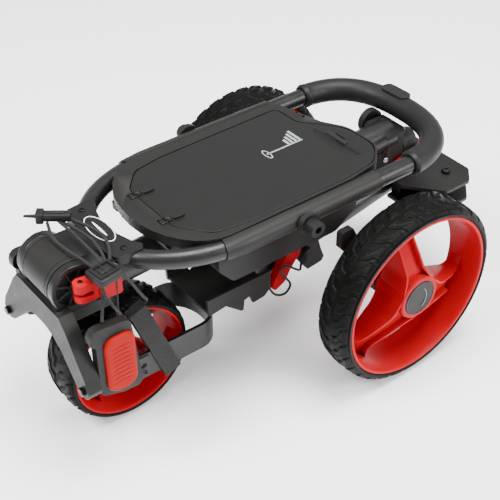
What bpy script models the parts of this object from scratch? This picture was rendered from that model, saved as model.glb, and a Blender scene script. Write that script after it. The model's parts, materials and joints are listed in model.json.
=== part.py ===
"""A folded three-wheel golf trolley: spine, hub, folding handle, console, bag cradle and three wheels.

Metres, +Z up. X runs along the trolley, from the folding barrel at -X to the leg hub at +X.
Y runs across it, and "near" is the -Y side. Shapes are laid out from the rear axle line (x = 0,
y = 0 on the mid-plane, z = 0 on the ground); the root empty then moves them so that the
trolley's own origin is the middle of its footprint.
"""

import math

import bmesh
import bpy
from mathutils import Euler, Matrix, Vector

# ---- driving dimensions -------------------------------------------------------------------
AXLE_OFFSET_X = 0.1166          # rear axle line from the middle of the footprint
REAR_RADIUS = 0.135             # rear tyre
REAR_OUTER_Y = 0.204            # outer face of a rear wheel
REAR_WIDTH = 0.058
FRONT_RADIUS = 0.0925           # front tyre
FRONT_X = -0.345
FRONT_WIDTH = 0.066
REAR_TYRE_DEPTH = 0.0140        # tread to rim
FRONT_TYRE_DEPTH = 0.0105
WHEEL_STEPS = 28
TUBE_RADIUS = 0.012             # handle loop
LOOP_HALF_WIDTH = 0.1107
LOOP_Z = 0.2763
LOOP_LEFT_X = -0.200            # where the left bend starts
LOOP_LEFT_REACH = 0.158
LOOP_LEFT_SQUARE = 2.15         # 2 is an ellipse, more is squarer
LOOP_RIGHT_X = 0.043            # where the right bend starts
LOOP_RIGHT_REACH = 0.104
LOOP_RIGHT_SQUARE = 2.5
BEND_STEPS = 18                 # facets round each bend
GRIP_START_X = 0.051
GRIP_RADIUS = 0.0172
SLEEVE_RADIUS = 0.0144          # console sleeves round the loop
SLEEVE_LEFT_X = -0.250
SLEEVE_RIGHT_X = -0.008
BARREL_X = -0.415               # folding barrel, axis along Y
BARREL_Z = 0.260
BARREL_RADIUS = 0.031
BARREL_HALF = 0.042
EAR_WIDTH = 0.011
SPINE_RADIUS = 0.022
SPINE_START = (-0.385, 0.0, 0.222)
SPINE_END = (0.122, 0.0, 0.2435)
HUB_X = 0.175                   # front leg hinge, axis along Y
HUB_Z = 0.168
LEVER_PIVOT = (0.119, -0.027, 0.2045)
LATCH_PIVOT = (-0.074, -0.030, 0.148)
LEG_PIVOT = (0.184, 0.064)      # leg hinge, axis along Z
CARRIER_PIVOT = (0.0, 0.128)
PANEL_TOP = 0.2910              # console top face
LID_HINGE = (-0.2850, PANEL_TOP - 0.0025)
CAM_SPOT = (-0.4140, -0.0540)   # cam lever pin, axis along Z
TIP_Y = 0.092                   # cradle tip
TIP_Z = 0.150
GAP = 0.0003                    # between faces that touch
RUNNING = 0.0002                # around a pin that turns

BLACK = (0.018, 0.018, 0.02, 1.0)
CHARCOAL = (0.035, 0.036, 0.038, 1.0)
RED = (0.72, 0.012, 0.016, 1.0)
ORANGE = (0.82, 0.045, 0.012, 1.0)
RUBBER = (0.012, 0.012, 0.012, 1.0)
STEEL = (0.5, 0.5, 0.52, 1.0)
CORD = (0.01, 0.01, 0.01, 1.0)

for old in list(bpy.data.objects):
    bpy.data.objects.remove(old, do_unlink=True)

SCENE = bpy.context.scene.collection
PARTS = bpy.data.collections.new("golf_trolley")
CUTTERS = bpy.data.collections.new("cutters")
SCENE.children.link(PARTS)
SCENE.children.link(CUTTERS)


# ---- bodies -------------------------------------------------------------------------------
def pivot(name, place, parent=None):
    """An empty on a joint's axis, which carries the pieces that turn with it."""
    empty = bpy.data.objects.new(name, None)
    PARTS.objects.link(empty)
    empty.empty_display_size = 0.03
    origin = Vector(place)
    empty["origin"] = origin
    if parent is None:
        empty.location = origin + Vector((AXLE_OFFSET_X, 0, 0))
    else:
        empty.parent = parent
        empty.location = origin - Vector(parent["origin"])
    return empty


SIDES = (("near", -1), ("far", 1))
ROOT = pivot("trolley_axes", (0, 0, 0))
HANDLE = pivot("handle_axis", (BARREL_X, 0, BARREL_Z), ROOT)
LID = pivot("lid_axis", (LID_HINGE[0], 0, LID_HINGE[1]), HANDLE)
CAM = pivot("cam_axis", (*CAM_SPOT, 0.264), ROOT)
HUB_CAM = pivot("hub_lever_axis", LEVER_PIVOT, ROOT)
FRONT = pivot("front_axis", (HUB_X, 0, HUB_Z), ROOT)
LATCH = pivot("latch_axis", LATCH_PIVOT, FRONT)
FRONT_WHEEL = pivot("front_wheel_axis", (FRONT_X, 0, FRONT_RADIUS), FRONT)
WINGS = {s: pivot(f"wing_axis_{n}", (-0.425, s * TIP_Y, TIP_Z), ROOT) for n, s in SIDES}
LEGS = {s: pivot(f"leg_axis_{n}", (LEG_PIVOT[0], s * LEG_PIVOT[1], HUB_Z), ROOT) for n, s in SIDES}
CARRIERS = {s: pivot(f"carrier_axis_{n}", (CARRIER_PIVOT[0], s * CARRIER_PIVOT[1], HUB_Z), LEGS[s])
            for n, s in SIDES}
WHEEL_Y = REAR_OUTER_Y - REAR_WIDTH / 2
REAR_WHEELS = {s: pivot(f"rear_wheel_axis_{n}", (0, s * WHEEL_Y, REAR_RADIUS), CARRIERS[s]) for n, s in SIDES}


# ---- materials ----------------------------------------------------------------------------
def finish(name, colour, roughness, metallic=0.0):
    material = bpy.data.materials.new(name)
    material.use_nodes = True
    shader = material.node_tree.nodes["Principled BSDF"]
    shader.inputs["Base Color"].default_value = colour
    shader.inputs["Roughness"].default_value = roughness
    shader.inputs["Metallic"].default_value = metallic
    material.diffuse_color = colour
    return material


LOOKS = {
    "paint": (BLACK, 0.38, 0.3),
    "plastic": (CHARCOAL, 0.55, 0.0),
    "red": (RED, 0.35, 0.0),
    "orange": (ORANGE, 0.5, 0.0),
    "rubber": (RUBBER, 0.85, 0.0),
    "steel": (STEEL, 0.3, 1.0),
    "cord": (CORD, 0.8, 0.0),
}


# ---- shape helpers ------------------------------------------------------------------------
TURN = {"X": (0, math.pi / 2, 0), "Y": (math.pi / 2, 0, 0), "Z": (0, 0, 0)}
PLANE = {"X": (math.pi / 2, 0, math.pi / 2), "Y": (math.pi / 2, 0, 0), "Z": (0, 0, 0)}


def settle(obj, parent, look, place, rotation):
    """Puts a new shape in its collection, at its place under its body's axis."""
    if parent is None:
        CUTTERS.objects.link(obj)
        obj.hide_render = True
        obj.display_type = "WIRE"
        obj.parent = ROOT
        obj.location = Vector(place)
    else:
        PARTS.objects.link(obj)
        obj.parent = parent
        obj.location = Vector(place) - Vector(parent["origin"])
        obj.data.materials.append(finish(f"{obj.name}_{look}", *LOOKS[look]))
    obj.rotation_euler = Euler(rotation)
    return obj


def from_bmesh(name, bm):
    mesh = bpy.data.meshes.new(name)
    bmesh.ops.recalc_face_normals(bm, faces=bm.faces)
    bm.to_mesh(mesh)
    bm.free()
    return bpy.data.objects.new(name, mesh)


def smooth(obj, degrees=35):
    obj.data.shade_smooth()
    obj.data.set_sharp_from_angle(angle=math.radians(degrees))
    return obj


def bevel(obj, width, segments=1):
    modifier = obj.modifiers.new("Bevel", "BEVEL")
    modifier.width = width
    modifier.segments = segments
    modifier.limit_method = "ANGLE"
    modifier.angle_limit = math.radians(40)
    return obj


def box(name, low, high, parent=None, look="plastic", edge=0.0, rotation=(0, 0, 0)):
    """A block between two corners, turned about its own middle."""
    bm = bmesh.new()
    bmesh.ops.create_cube(bm, size=1)
    size = Vector(high) - Vector(low)
    bmesh.ops.scale(bm, vec=size, verts=bm.verts)
    obj = settle(from_bmesh(name, bm), parent, look, (Vector(low) + Vector(high)) / 2, rotation)
    return bevel(obj, edge) if edge else obj


def rod(name, middle, radius, length, axis="Y", parent=None, look="steel", sides=20, top=None, rotation=None):
    """A cylinder, or a cone where top gives its other radius."""
    bm = bmesh.new()
    bmesh.ops.create_cone(bm, cap_ends=True, segments=sides, radius1=radius,
                          radius2=radius if top is None else top, depth=length)
    turn = TURN[axis] if rotation is None else rotation
    return smooth(settle(from_bmesh(name, bm), parent, look, middle, turn))


def between(start, end):
    """(middle, length, rotation) that lay a Z cylinder from start to end."""
    run = Vector(end) - Vector(start)
    return (Vector(start) + Vector(end)) / 2, run.length, run.to_track_quat("Z", "Y").to_euler()


def turned(name, profile, middle, axis="Y", parent=None, look="steel", steps=32):
    """A closed profile of (radius, height) points, outer side first, turned about its axis."""
    bm = bmesh.new()
    verts = [bm.verts.new((radius, 0, height)) for radius, height in profile]
    count = len(verts)
    for index in range(count):
        bm.edges.new((verts[index], verts[(index + 1) % count]))
    mesh = bpy.data.meshes.new(name)
    bm.to_mesh(mesh)
    bm.free()
    obj = settle(bpy.data.objects.new(name, mesh), parent, look, middle, TURN[axis])
    screw = obj.modifiers.new("Screw", "SCREW")
    screw.steps = screw.render_steps = steps
    screw.use_merge_vertices = True
    screw.merge_threshold = 0.00001
    screw.use_smooth_shade = True
    return obj


def pipe(name, start, end, radius, bore, parent, look="paint", sides=24):
    """A straight tube with open ends."""
    middle, length, rotation = between(start, end)
    ring = [(radius, length / 2), (radius, -length / 2), (bore, -length / 2), (bore, length / 2)]
    obj = turned(name, ring, middle, "Z", parent, look, sides)
    obj.rotation_euler = rotation
    return obj


def as_mesh(obj):
    """The curve as a mesh object with welded caps, in the curve's place."""
    bpy.context.view_layer.update()
    graph = bpy.context.evaluated_depsgraph_get()
    mesh = bpy.data.meshes.new_from_object(obj.evaluated_get(graph))
    bm = bmesh.new()
    bm.from_mesh(mesh)
    bmesh.ops.remove_doubles(bm, verts=bm.verts, dist=0.00001)
    bmesh.ops.recalc_face_normals(bm, faces=bm.faces)
    bm.to_mesh(mesh)
    bm.free()
    name = obj.name
    made = bpy.data.objects.new(name + "_mesh", mesh)
    for collection in list(obj.users_collection):
        collection.objects.link(made)
    made.parent = obj.parent
    made.location = obj.location
    made.rotation_euler = obj.rotation_euler
    made.hide_render = obj.hide_render
    made.display_type = obj.display_type
    bpy.data.objects.remove(obj, do_unlink=True)
    made.name = name
    return made


def rounded(corners, radius, steps=4):
    """A closed outline with its corners rounded; a corner may carry its own radius."""
    outline = []
    count = len(corners)
    for index in range(count):
        here = Vector(corners[index][:2])
        back = (Vector(corners[index - 1][:2]) - here).normalized()
        ahead = (Vector(corners[(index + 1) % count][:2]) - here).normalized()
        own = corners[index][2] if len(corners[index]) > 2 else radius
        if own <= 0:
            outline.append(here)
            continue
        half = back.angle(ahead) / 2
        middle = here + (back + ahead).normalized() * own / math.sin(half)
        first = here + back * own / math.tan(half) - middle
        last = here + ahead * own / math.tan(half) - middle
        sweep = first.angle_signed(last)
        for step in range(steps + 1):
            turn = -sweep * step / steps
            outline.append(middle + Vector((first.x * math.cos(turn) - first.y * math.sin(turn),
                                            first.x * math.sin(turn) + first.y * math.cos(turn))))
    return outline


def arc(middle, radius_x, radius_y, start, end, steps):
    """Points along an ellipse between two angles, in degrees."""
    points = []
    for step in range(steps + 1):
        angle = math.radians(start + (end - start) * step / steps)
        across, up = radius_x * math.cos(angle), radius_y * math.sin(angle)
        points.append(Vector((middle[0] + across, middle[1] + up)))
    return points


def plate(name, outlines, low, high, axis="Z", parent=None, look="plastic", edge=0.0):
    """Flat outlines across an axis, filled from low to high along it; inner outlines are holes."""
    curve = bpy.data.curves.new(name, "CURVE")
    curve.dimensions = "2D"
    curve.fill_mode = "BOTH"
    curve.extrude = (high - low) / 2
    for outline in outlines:
        spline = curve.splines.new("POLY")
        spline.points.add(len(outline) - 1)
        for point, (u, v) in zip(spline.points, outline):
            point.co = (u, v, 0, 1)
        spline.use_cyclic_u = True
    level = (low + high) / 2
    place = {"X": (level, 0, 0), "Y": (0, level, 0), "Z": (0, 0, level)}[axis]
    obj = as_mesh(settle(bpy.data.objects.new(name, curve), parent, look, place, PLANE[axis]))
    smooth(obj)
    return bevel(obj, edge) if edge else obj


def sweep(name, points, radius, parent=None, look="paint", sides=3, cyclic=False):
    """A round bar along a run of points. sides is the bevel resolution."""
    curve = bpy.data.curves.new(name, "CURVE")
    curve.dimensions = "3D"
    curve.bevel_depth = radius
    curve.bevel_resolution = sides
    curve.use_fill_caps = not cyclic
    spline = curve.splines.new("POLY")
    spline.points.add(len(points) - 1)
    for point, place in zip(spline.points, points):
        point.co = (*place, 1)
    spline.use_cyclic_u = cyclic
    obj = as_mesh(settle(bpy.data.objects.new(name, curve), parent, look, (0, 0, 0), (0, 0, 0)))
    return smooth(obj)


def eased(stops, count):
    """A Catmull-Rom curve through the stops, sampled at count points."""
    path = [Vector(stop) for stop in stops]
    path = [2 * path[0] - path[1]] + path + [2 * path[-1] - path[-2]]
    spans = len(path) - 3
    points = []
    for index in range(count):
        at = index * spans / (count - 1)
        span = min(int(at), spans - 1)
        t = at - span
        a, b, c, d = path[span:span + 4]
        points.append(0.5 * (2 * b + (c - a) * t + (2 * a - 5 * b + 4 * c - d) * t ** 2
                             + (3 * b - a - 3 * c + d) * t ** 3))
    return points


def boolean(obj, other, operation):
    modifier = obj.modifiers.new(f"{operation.title()} {other.name}", "BOOLEAN")
    modifier.operation = operation
    modifier.solver = "EXACT"
    modifier.object = other
    return obj


def cut(obj, *cutters):
    for cutter in cutters:
        boolean(obj, cutter, "DIFFERENCE")
    return obj


def join(obj, *others):
    for other in others:
        boolean(obj, other, "UNION")
    return obj


# ---- handle loop --------------------------------------------------------------------------
def bend(middle_x, reach, square, steps):
    """Points round one end of the loop, from its +Y side to its -Y side; reach is negative to the left."""
    points = []
    for step in range(steps + 1):
        angle = math.pi * step / steps
        along = abs(math.sin(angle)) ** (2 / square)
        across = math.copysign(abs(math.cos(angle)) ** (2 / square), math.cos(angle))
        points.append((middle_x + reach * along, LOOP_HALF_WIDTH * across))
    return points


def loop_y(x):
    """Half width of the loop's centre line at x."""
    if x > LOOP_RIGHT_X:
        middle_x, reach, square = LOOP_RIGHT_X, LOOP_RIGHT_REACH, LOOP_RIGHT_SQUARE
    elif x < LOOP_LEFT_X:
        middle_x, reach, square = LOOP_LEFT_X, LOOP_LEFT_REACH, LOOP_LEFT_SQUARE
    else:
        return LOOP_HALF_WIDTH
    return LOOP_HALF_WIDTH * (1 - (abs(x - middle_x) / reach) ** square) ** (1 / square)


def loop_path():
    """Centre line of the whole handle loop."""
    left = bend(LOOP_LEFT_X, -LOOP_LEFT_REACH, LOOP_LEFT_SQUARE, BEND_STEPS)
    right = bend(LOOP_RIGHT_X, LOOP_RIGHT_REACH, LOOP_RIGHT_SQUARE, BEND_STEPS)
    return [(x, y, LOOP_Z) for x, y in left + right[::-1]]


def grip_path():
    """Centre line of the loop's right end from GRIP_START_X, with straight ends."""
    bare = bend(LOOP_RIGHT_X, LOOP_RIGHT_REACH, LOOP_RIGHT_SQUARE, BEND_STEPS)
    right = [p for p in bare if p[0] > GRIP_START_X]
    end = loop_y(GRIP_START_X)
    return [(x, y, LOOP_Z) for x, y in [(GRIP_START_X, end)] + right + [(GRIP_START_X, -end)]]


sweep("handle_tube", loop_path(), TUBE_RADIUS, HANDLE, "paint", 4, cyclic=True)
grip = sweep("handle_grip", grip_path(), GRIP_RADIUS, HANDLE, "rubber", 4)
grip_bore = sweep("grip_bore", loop_path(), TUBE_RADIUS + GAP, None, "paint", 4, cyclic=True)
cut(grip, grip_bore)


def button_outline(grow):
    return rounded([(0.1405 - grow, -0.0065 - grow), (0.1605 + grow, -0.0065 - grow),
                    (0.1585 + grow, 0.0395 + grow), (0.1375 - grow, 0.0395 + grow)], 0.008, 3)


button_foot = LOOP_Z + TUBE_RADIUS + 0.0010
plate("grip_button", [button_outline(0)], button_foot, button_foot + 0.0065, "Z", HANDLE, "rubber", 0.0015)
button_seat = plate("button_seat", [button_outline(GAP)], button_foot - GAP, button_foot + 0.02, "Z")
cut(grip, button_seat)


YOKE_FOOT = LOOP_Z + 0.0012
YOKE_TOP = LOOP_Z + TUBE_RADIUS + 0.0026

# ---- folding barrel -----------------------------------------------------------------------
inner_half = BARREL_HALF - EAR_WIDTH - GAP
barrel = rod("hinge_barrel", (BARREL_X, 0, BARREL_Z), BARREL_RADIUS, 2 * inner_half, "Y", HANDLE, "paint", 32)
arm = box("arm_body", (BARREL_X + 0.010, -0.028, 0.2580), (-0.3450, 0.028, YOKE_FOOT - GAP))
arm_head = box("arm_head", (BARREL_X + 0.010, -0.028, 0.2640), (-0.3725, 0.028, 0.2890))
tube_seat = sweep("tube_seat", loop_path(), TUBE_RADIUS + GAP, None, "paint", 4, cyclic=True)
barrel_bore = rod("barrel_bore", (BARREL_X, 0, BARREL_Z), 0.008 + RUNNING, 0.12, "Y")
join(barrel, arm, arm_head)
cut(barrel, tube_seat, barrel_bore)
rod("hinge_pin", (BARREL_X, 0, BARREL_Z), 0.008, 2 * BARREL_HALF - 0.001, "Y", ROOT, "steel", 20)

ear_outline = (arc((BARREL_X, BARREL_Z), BARREL_RADIUS, BARREL_RADIUS, -20, 200, 16)
               + [Vector((BARREL_X - 0.026, 0.236)), Vector((BARREL_X + 0.026, 0.236))])
for side_name, side in SIDES:
    face = side * (BARREL_HALF - EAR_WIDTH)
    low, high = sorted((face, side * BARREL_HALF))
    ear = plate(f"barrel_ear_{side_name}", [ear_outline], low, high, "Y", ROOT, "paint", 0.0012)
    ear_bore = rod(f"ear_bore_{side_name}", (BARREL_X, face, BARREL_Z), 0.008 + GAP, 0.04, "Y")
    recess_spot = (BARREL_X, side * BARREL_HALF, BARREL_Z)
    recess = rod(f"ear_recess_{side_name}", recess_spot, 0.0255, 0.009, "Y", sides=24)
    cut(ear, ear_bore, recess)

yoke_outline = rounded([(-0.3718, -0.0210), (-0.3710, -0.0470), (-0.3660, -0.0590), (-0.3330, -0.0620, 0.003),
                        (-0.3270, -0.0535, 0.003), (-0.3345, -0.0409, 0.01), (-0.3412, -0.0180, 0.02),
                        (-0.3412, 0.0180, 0.02), (-0.3345, 0.0409, 0.01), (-0.3270, 0.0535, 0.003),
                        (-0.3330, 0.0620, 0.003), (-0.3660, 0.0590), (-0.3710, 0.0470), (-0.3718, 0.0210)],
                       0.006, 3)
yoke = plate("yoke_plate", [yoke_outline], YOKE_FOOT, YOKE_TOP, "Z", HANDLE, "plastic", 0.0012)
yoke_seat = sweep("yoke_seat", loop_path(), TUBE_RADIUS + GAP, None, "paint", 4, cyclic=True)
buckle_room = rod("buckle_room", (BARREL_X, -0.0565, BARREL_Z), 0.0550, 0.0150, "Y", sides=48)
cut(yoke, yoke_seat, buckle_room)

# cam clamp on the barrel's near end: a forked red lever on a steel eye
eye_outline = (arc(CAM_SPOT, 0.0065, 0.0065, 180, 360, 10)
               + [Vector((CAM_SPOT[0] + 0.0045, -0.0417)), Vector((CAM_SPOT[0] - 0.0045, -0.0417))])
eye = plate("cam_eye", [eye_outline], 0.2608, 0.2644, "Z", ROOT, "steel")
cam_bore = rod("eye_hole", (*CAM_SPOT, 0.264), 0.0030 + GAP, 0.05, "Z", sides=14)
cut(eye, cam_bore)
rod("cam_pin", (*CAM_SPOT, 0.2640), 0.0030, 0.0246, "Z", ROOT, "steel", 14)
cam_outline = rounded([(CAM_SPOT[0] - 0.0100, -0.0640, 0.0088), (CAM_SPOT[0] + 0.006, -0.0645, 0.004),
                       (-0.3665, -0.0675), (-0.3665, -0.0570), (CAM_SPOT[0] + 0.012, -0.0480, 0.006),
                       (CAM_SPOT[0] - 0.0100, -0.0440, 0.0088)], 0.003)
cam = plate("cam_lever", [cam_outline], 0.2515, 0.2765, "Z", CAM, "red")
cam_blade = plate("cam_blade", [rounded([(-0.3960, 0.2530), (-0.3860, 0.2470), (-0.3665, 0.2450), (-0.3665, 0.2760),
                                         (-0.3960, 0.2750)], 0.003, 2)], -0.0670, -0.0575, "Y")
cam_slot = box("cam_slot", (CAM_SPOT[0] - 0.020, -0.0700, 0.2602), (CAM_SPOT[0] + 0.0105, -0.0400, 0.2650))
cam_hole = rod("cam_hole", (*CAM_SPOT, 0.264), 0.0030 + RUNNING, 0.05, "Z", sides=14)
join(cam, cam_blade)
cut(cam, cam_slot, cam_hole)


# ---- console ------------------------------------------------------------------------------
def lid_outline(grow):
    """Outline of the lid, seen from above; its near right corner is a broad lobe."""
    return rounded([(-0.2805 - grow, -0.0470 - grow, 0.02), (-0.2500, -0.0905 - grow, 0.03),
                    (-0.1950, -0.0960 - grow, 0.05), (-0.0450, -0.0985 - grow, 0.05),
                    (0.0050, -0.0930 - grow, 0.03), (0.0330 + grow, -0.0640, 0.03), (0.0320 + grow, -0.0100, 0.04),
                    (0.0030, 0.0270 + grow, 0.02), (-0.0120 + grow, 0.0440, 0.02), (-0.0130 + grow, 0.0880 + grow, 0.012),
                    (-0.2100, 0.0850 + grow, 0.05), (-0.2530, 0.0780 + grow, 0.02), (-0.2805 - grow, 0.0470 + grow, 0.02)],
                   0.02, 3)


half = LOOP_HALF_WIDTH - 0.0060
base_right = rounded([(-0.235, -half, 0), (-0.0450, -half, 0.04), (0.0070, -0.0965, 0.03), (0.0362, -0.0660, 0.03),
                      (0.0352, -0.0080, 0.04), (0.0160, 0.0240, 0.01), (-0.0040, half - 0.002, 0.004),
                      (-0.0300, half, 0.01), (-0.235, half, 0)], 0.01, 4)
base_outline = arc((-0.235, 0), 0.0765, half, 90, 270, 16) + base_right[1:-1]
console = plate("console_base", [base_outline], 0.2775, PANEL_TOP, "Z", HANDLE, "plastic")
for side_name, side in SIDES:
    stops = [SLEEVE_LEFT_X, -0.237, -0.222, LOOP_LEFT_X, SLEEVE_RIGHT_X]
    sleeve_run = [(x, side * loop_y(x), LOOP_Z) for x in stops]
    sleeve = sweep(f"sleeve_{side_name}", sleeve_run, SLEEVE_RADIUS, None, "plastic",
                   4)
    pod_outline = rounded([(-0.250, 0.2800, 0), (-0.250, 0.236, 0.012), (-0.228, 0.2110, 0.012),
                           (-0.060, 0.2110, 0.018), (-0.026, 0.236, 0.016), (-0.026, 0.2800, 0)], 0.010, 3)
    low, high = sorted((side * 0.031, side * 0.098))
    pod = plate(f"pod_{side_name}", [pod_outline], low, high, "Y")
    join(console, sleeve, pod)
shelf = box("console_shelf", (-0.250, -0.040, 0.2690), (-0.026, 0.040, 0.2800))
join(console, shelf)
for side_name, side in SIDES:
    low, high = sorted((side * 0.0345, side * 0.0835))
    pocket = box(f"pod_pocket_{side_name}", (-0.222, low, 0.2165), (-0.052, high, 0.300))
    cut(console, pocket)
shelf_pocket = box("shelf_pocket", (-0.222, -0.0500, 0.2720), (-0.052, 0.0500, 0.300))
lid_seat = plate("lid_seat", [lid_outline(0.0012)], PANEL_TOP - 0.0033, PANEL_TOP + 0.005, "Z")
console_tube = sweep("console_tube", loop_path(), TUBE_RADIUS + GAP, None, "paint", 4, cyclic=True)
cut(console, shelf_pocket, lid_seat, console_tube)
lid = plate("console_lid", [lid_outline(0.0)], PANEL_TOP - 0.0030, PANEL_TOP, "Z", LID, "plastic")
for side_name, side in SIDES:
    middle_y = side * 0.0335
    knuckle_spot = (LID_HINGE[0], middle_y, LID_HINGE[1])
    knuckle = rod(f"knuckle_{side_name}", knuckle_spot, 0.0042, 0.010, "Y", sides=16)
    web = box(f"knuckle_web_{side_name}", (LID_HINGE[0], middle_y - 0.005, LID_HINGE[1] + 0.0010),
              (-0.2740, middle_y + 0.005, LID_HINGE[1] + 0.0038))
    seat_low = (LID_HINGE[0] - 0.0052, middle_y - 0.006, LID_HINGE[1] - 0.0065)
    knuckle_seat = box(f"knuckle_seat_{side_name}", seat_low,
                       (-0.2780, middle_y + 0.006, 0.300))
    join(lid, knuckle, web)
    cut(console, knuckle_seat)
pin_z = LID_HINGE[1] - 0.0005
lid_pin_bore = rod("lid_pin_bore", (LID_HINGE[0], 0, pin_z), 0.0019, 0.098, "Y", sides=12)
lid_bore = rod("lid_bore", (LID_HINGE[0], 0, pin_z), 0.0016, 0.098, "Y", sides=12)
cut(console, lid_pin_bore)
cut(lid, lid_bore)
rod("lid_hinge_pin", (LID_HINGE[0], 0, pin_z), 0.0014, 0.094, "Y", HANDLE, "steel", 12)
leaf_outline = arc((0.0010, -0.0250), 0.0180, 0.0450, 100, 280, 14)
leaf = plate("latch_leaf", [leaf_outline], PANEL_TOP - 0.0012, 0.300, "Z")
cut(lid, leaf)
slot_tab = box("slot_tab", (0.0010, -0.0390, PANEL_TOP - 0.0020), (0.0080, -0.0020, PANEL_TOP + 0.0018))
join(lid, slot_tab)
for hole in range(4):
    spot = (0.0026 + 0.0009 * hole, 0.0897 - 0.0134 * hole, PANEL_TOP)
    tee = rod(f"tee_hole_{hole}", spot, 0.0021, 0.04, "Z", sides=10)
    cut(console, tee)

BOSS_X = -0.1355
SLEEVE_FACE = LOOP_HALF_WIDTH + SLEEVE_RADIUS + GAP
for side_name, side in SIDES:
    reach = 0.022 if side < 0 else 0.015
    boss_middle = (BOSS_X, side * (SLEEVE_FACE + reach / 2), LOOP_Z)
    boss = rod(f"accessory_boss_{side_name}", boss_middle, 0.0105, reach, "Y",
               HANDLE, "plastic", 20)
    flange_spot = (BOSS_X, side * (SLEEVE_FACE + 0.0035), LOOP_Z)
    flange = rod(f"boss_flange_{side_name}", flange_spot, 0.0150, 0.007, "Y")
    boss_end = (BOSS_X, side * (SLEEVE_FACE + reach), LOOP_Z)
    socket = rod(f"boss_socket_{side_name}", boss_end, 0.0050, 0.012, "Y", sides=6)
    join(boss, flange)
    cut(boss, socket)

CROSS_ROD = (-0.284, 0, 0.2530)
rod("cross_rod", CROSS_ROD, 0.0026, 0.172, "Y", HANDLE, "steel", 10)
for side_name, side in SIDES:
    ear_shape = rounded([(-0.290, 0.246, 0.005), (-0.244, 0.246, 0), (-0.244, 0.2800, 0), (-0.2700, 0.2800, 0),
                         (-0.290, 0.260, 0.005)], 0.004, 3)
    low, high = sorted((side * 0.0700, side * 0.0780))
    rod_ear = plate(f"rod_ear_{side_name}", [ear_shape], low, high, "Y")
    join(console, rod_ear)
rod_bore = rod("rod_bore", CROSS_ROD, 0.0026 + GAP, 0.30, "Y", sides=10)
cut(console, rod_bore)


# ---- main spine, bag cradle and hub -------------------------------------------------------
pipe("main_spine", SPINE_START, SPINE_END, SPINE_RADIUS, SPINE_RADIUS - 0.0022, ROOT)
arch_half = [(0.0300, 0.2355), (0.0510, 0.2355), (0.0620, 0.2230), (0.0835, 0.1915), (0.0975, 0.1690),
             (0.1040, 0.1520), (0.0920, 0.1420), (0.0805, 0.1420), (0.0700, 0.1520), (0.0590, 0.1660),
             (0.0480, 0.1790), (0.0300, 0.1920), (0.0120, 0.1975)]
arch_outline = [Vector(p) for p in arch_half] + [Vector((-y, z)) for y, z in reversed(arch_half)]
arch = plate("cradle_arch", [arch_outline], -0.446, -0.427, "X", ROOT, "plastic")
arch_head = box("arch_head", (-0.4445, -0.0425, 0.2130), (-0.3700, 0.0425, 0.2270))
join(arch, arch_head)
for side_name, side in SIDES:
    tip = rod(f"tip_{side_name}", (-0.4365, side * TIP_Y, TIP_Z), 0.0115, 0.019, "X", sides=16)
    horn_low, horn_high = sorted((side * (BARREL_HALF - EAR_WIDTH + GAP), side * BARREL_HALF))
    horn = box(f"horn_{side_name}", (BARREL_X - 0.026, horn_low, 0.2200), (BARREL_X + 0.026, horn_high, 0.2357))
    join(arch, tip, horn)
barrel_room = rod("barrel_room", (BARREL_X, 0, BARREL_Z), BARREL_RADIUS + 0.0015, 2 * inner_half + 0.0002, "Y",
                  sides=32)
spine_seat_mid, spine_seat_len, spine_seat_turn = between(SPINE_START, SPINE_END)
spine_seat = rod("spine_seat", spine_seat_mid, SPINE_RADIUS + GAP, spine_seat_len + 0.0006, sides=24,
                 rotation=spine_seat_turn)
spine_block = box("spine_block", (-0.4200, -0.0270, 0.1960), (-0.3560, 0.0270, 0.2300))
join(arch, spine_block)
wheel_room = rod("wheel_room", (FRONT_X, 0, FRONT_RADIUS), FRONT_RADIUS + 0.004, 0.090, "Y", sides=40)
cut(arch, barrel_room, spine_seat, wheel_room)
for side_name, side in SIDES:
    tip_bore = rod(f"tip_bore_{side_name}", (-0.4365, side * TIP_Y, TIP_Z), 0.0026 + GAP, 0.05, "X", sides=12)
    cut(arch, tip_bore)
    bolt_middle = (-0.43075, side * TIP_Y, TIP_Z)
    bolt = rod(f"wing_bolt_{side_name}", bolt_middle, 0.0026, 0.0315, "X", ROOT, "steel", 12)
    head = rod(f"bolt_head_{side_name}", (-0.4485, side * TIP_Y, TIP_Z), 0.0060, 0.0044, "X", sides=6)
    join(bolt, head)

# hub: two plates with two blocks between them, slotted for the front leg
hub_outline = rounded([(0.110, -0.050), (0.110, 0.050), (0.150, 0.100), (0.196, 0.100), (0.2175, 0.078),
                       (0.2175, -0.078), (0.196, -0.100), (0.150, -0.100)], 0.006, 2)
hub = plate("hub_housing", [hub_outline], 0.1800, 0.1850, "Z", ROOT, "plastic")
hub_floor = plate("hub_floor", [hub_outline], 0.1500, 0.1552, "Z")
leg_room = box("leg_room", (0.100, -0.0225, 0.1400), (0.2300, 0.0225, 0.1795))
join(hub, hub_floor)
for side_name, side in SIDES:
    low, high = sorted((side * 0.0210, side * 0.0400))
    block = box(f"hub_block_{side_name}", (0.118, low, 0.1520), (0.2100, high, 0.1820))
    join(hub, block)
cut(hub, leg_room)
pin_bore = rod("front_pin_bore", (HUB_X, 0, HUB_Z), 0.0050 + GAP, 0.10, "Y", sides=16)
cut(hub, pin_bore)
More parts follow.
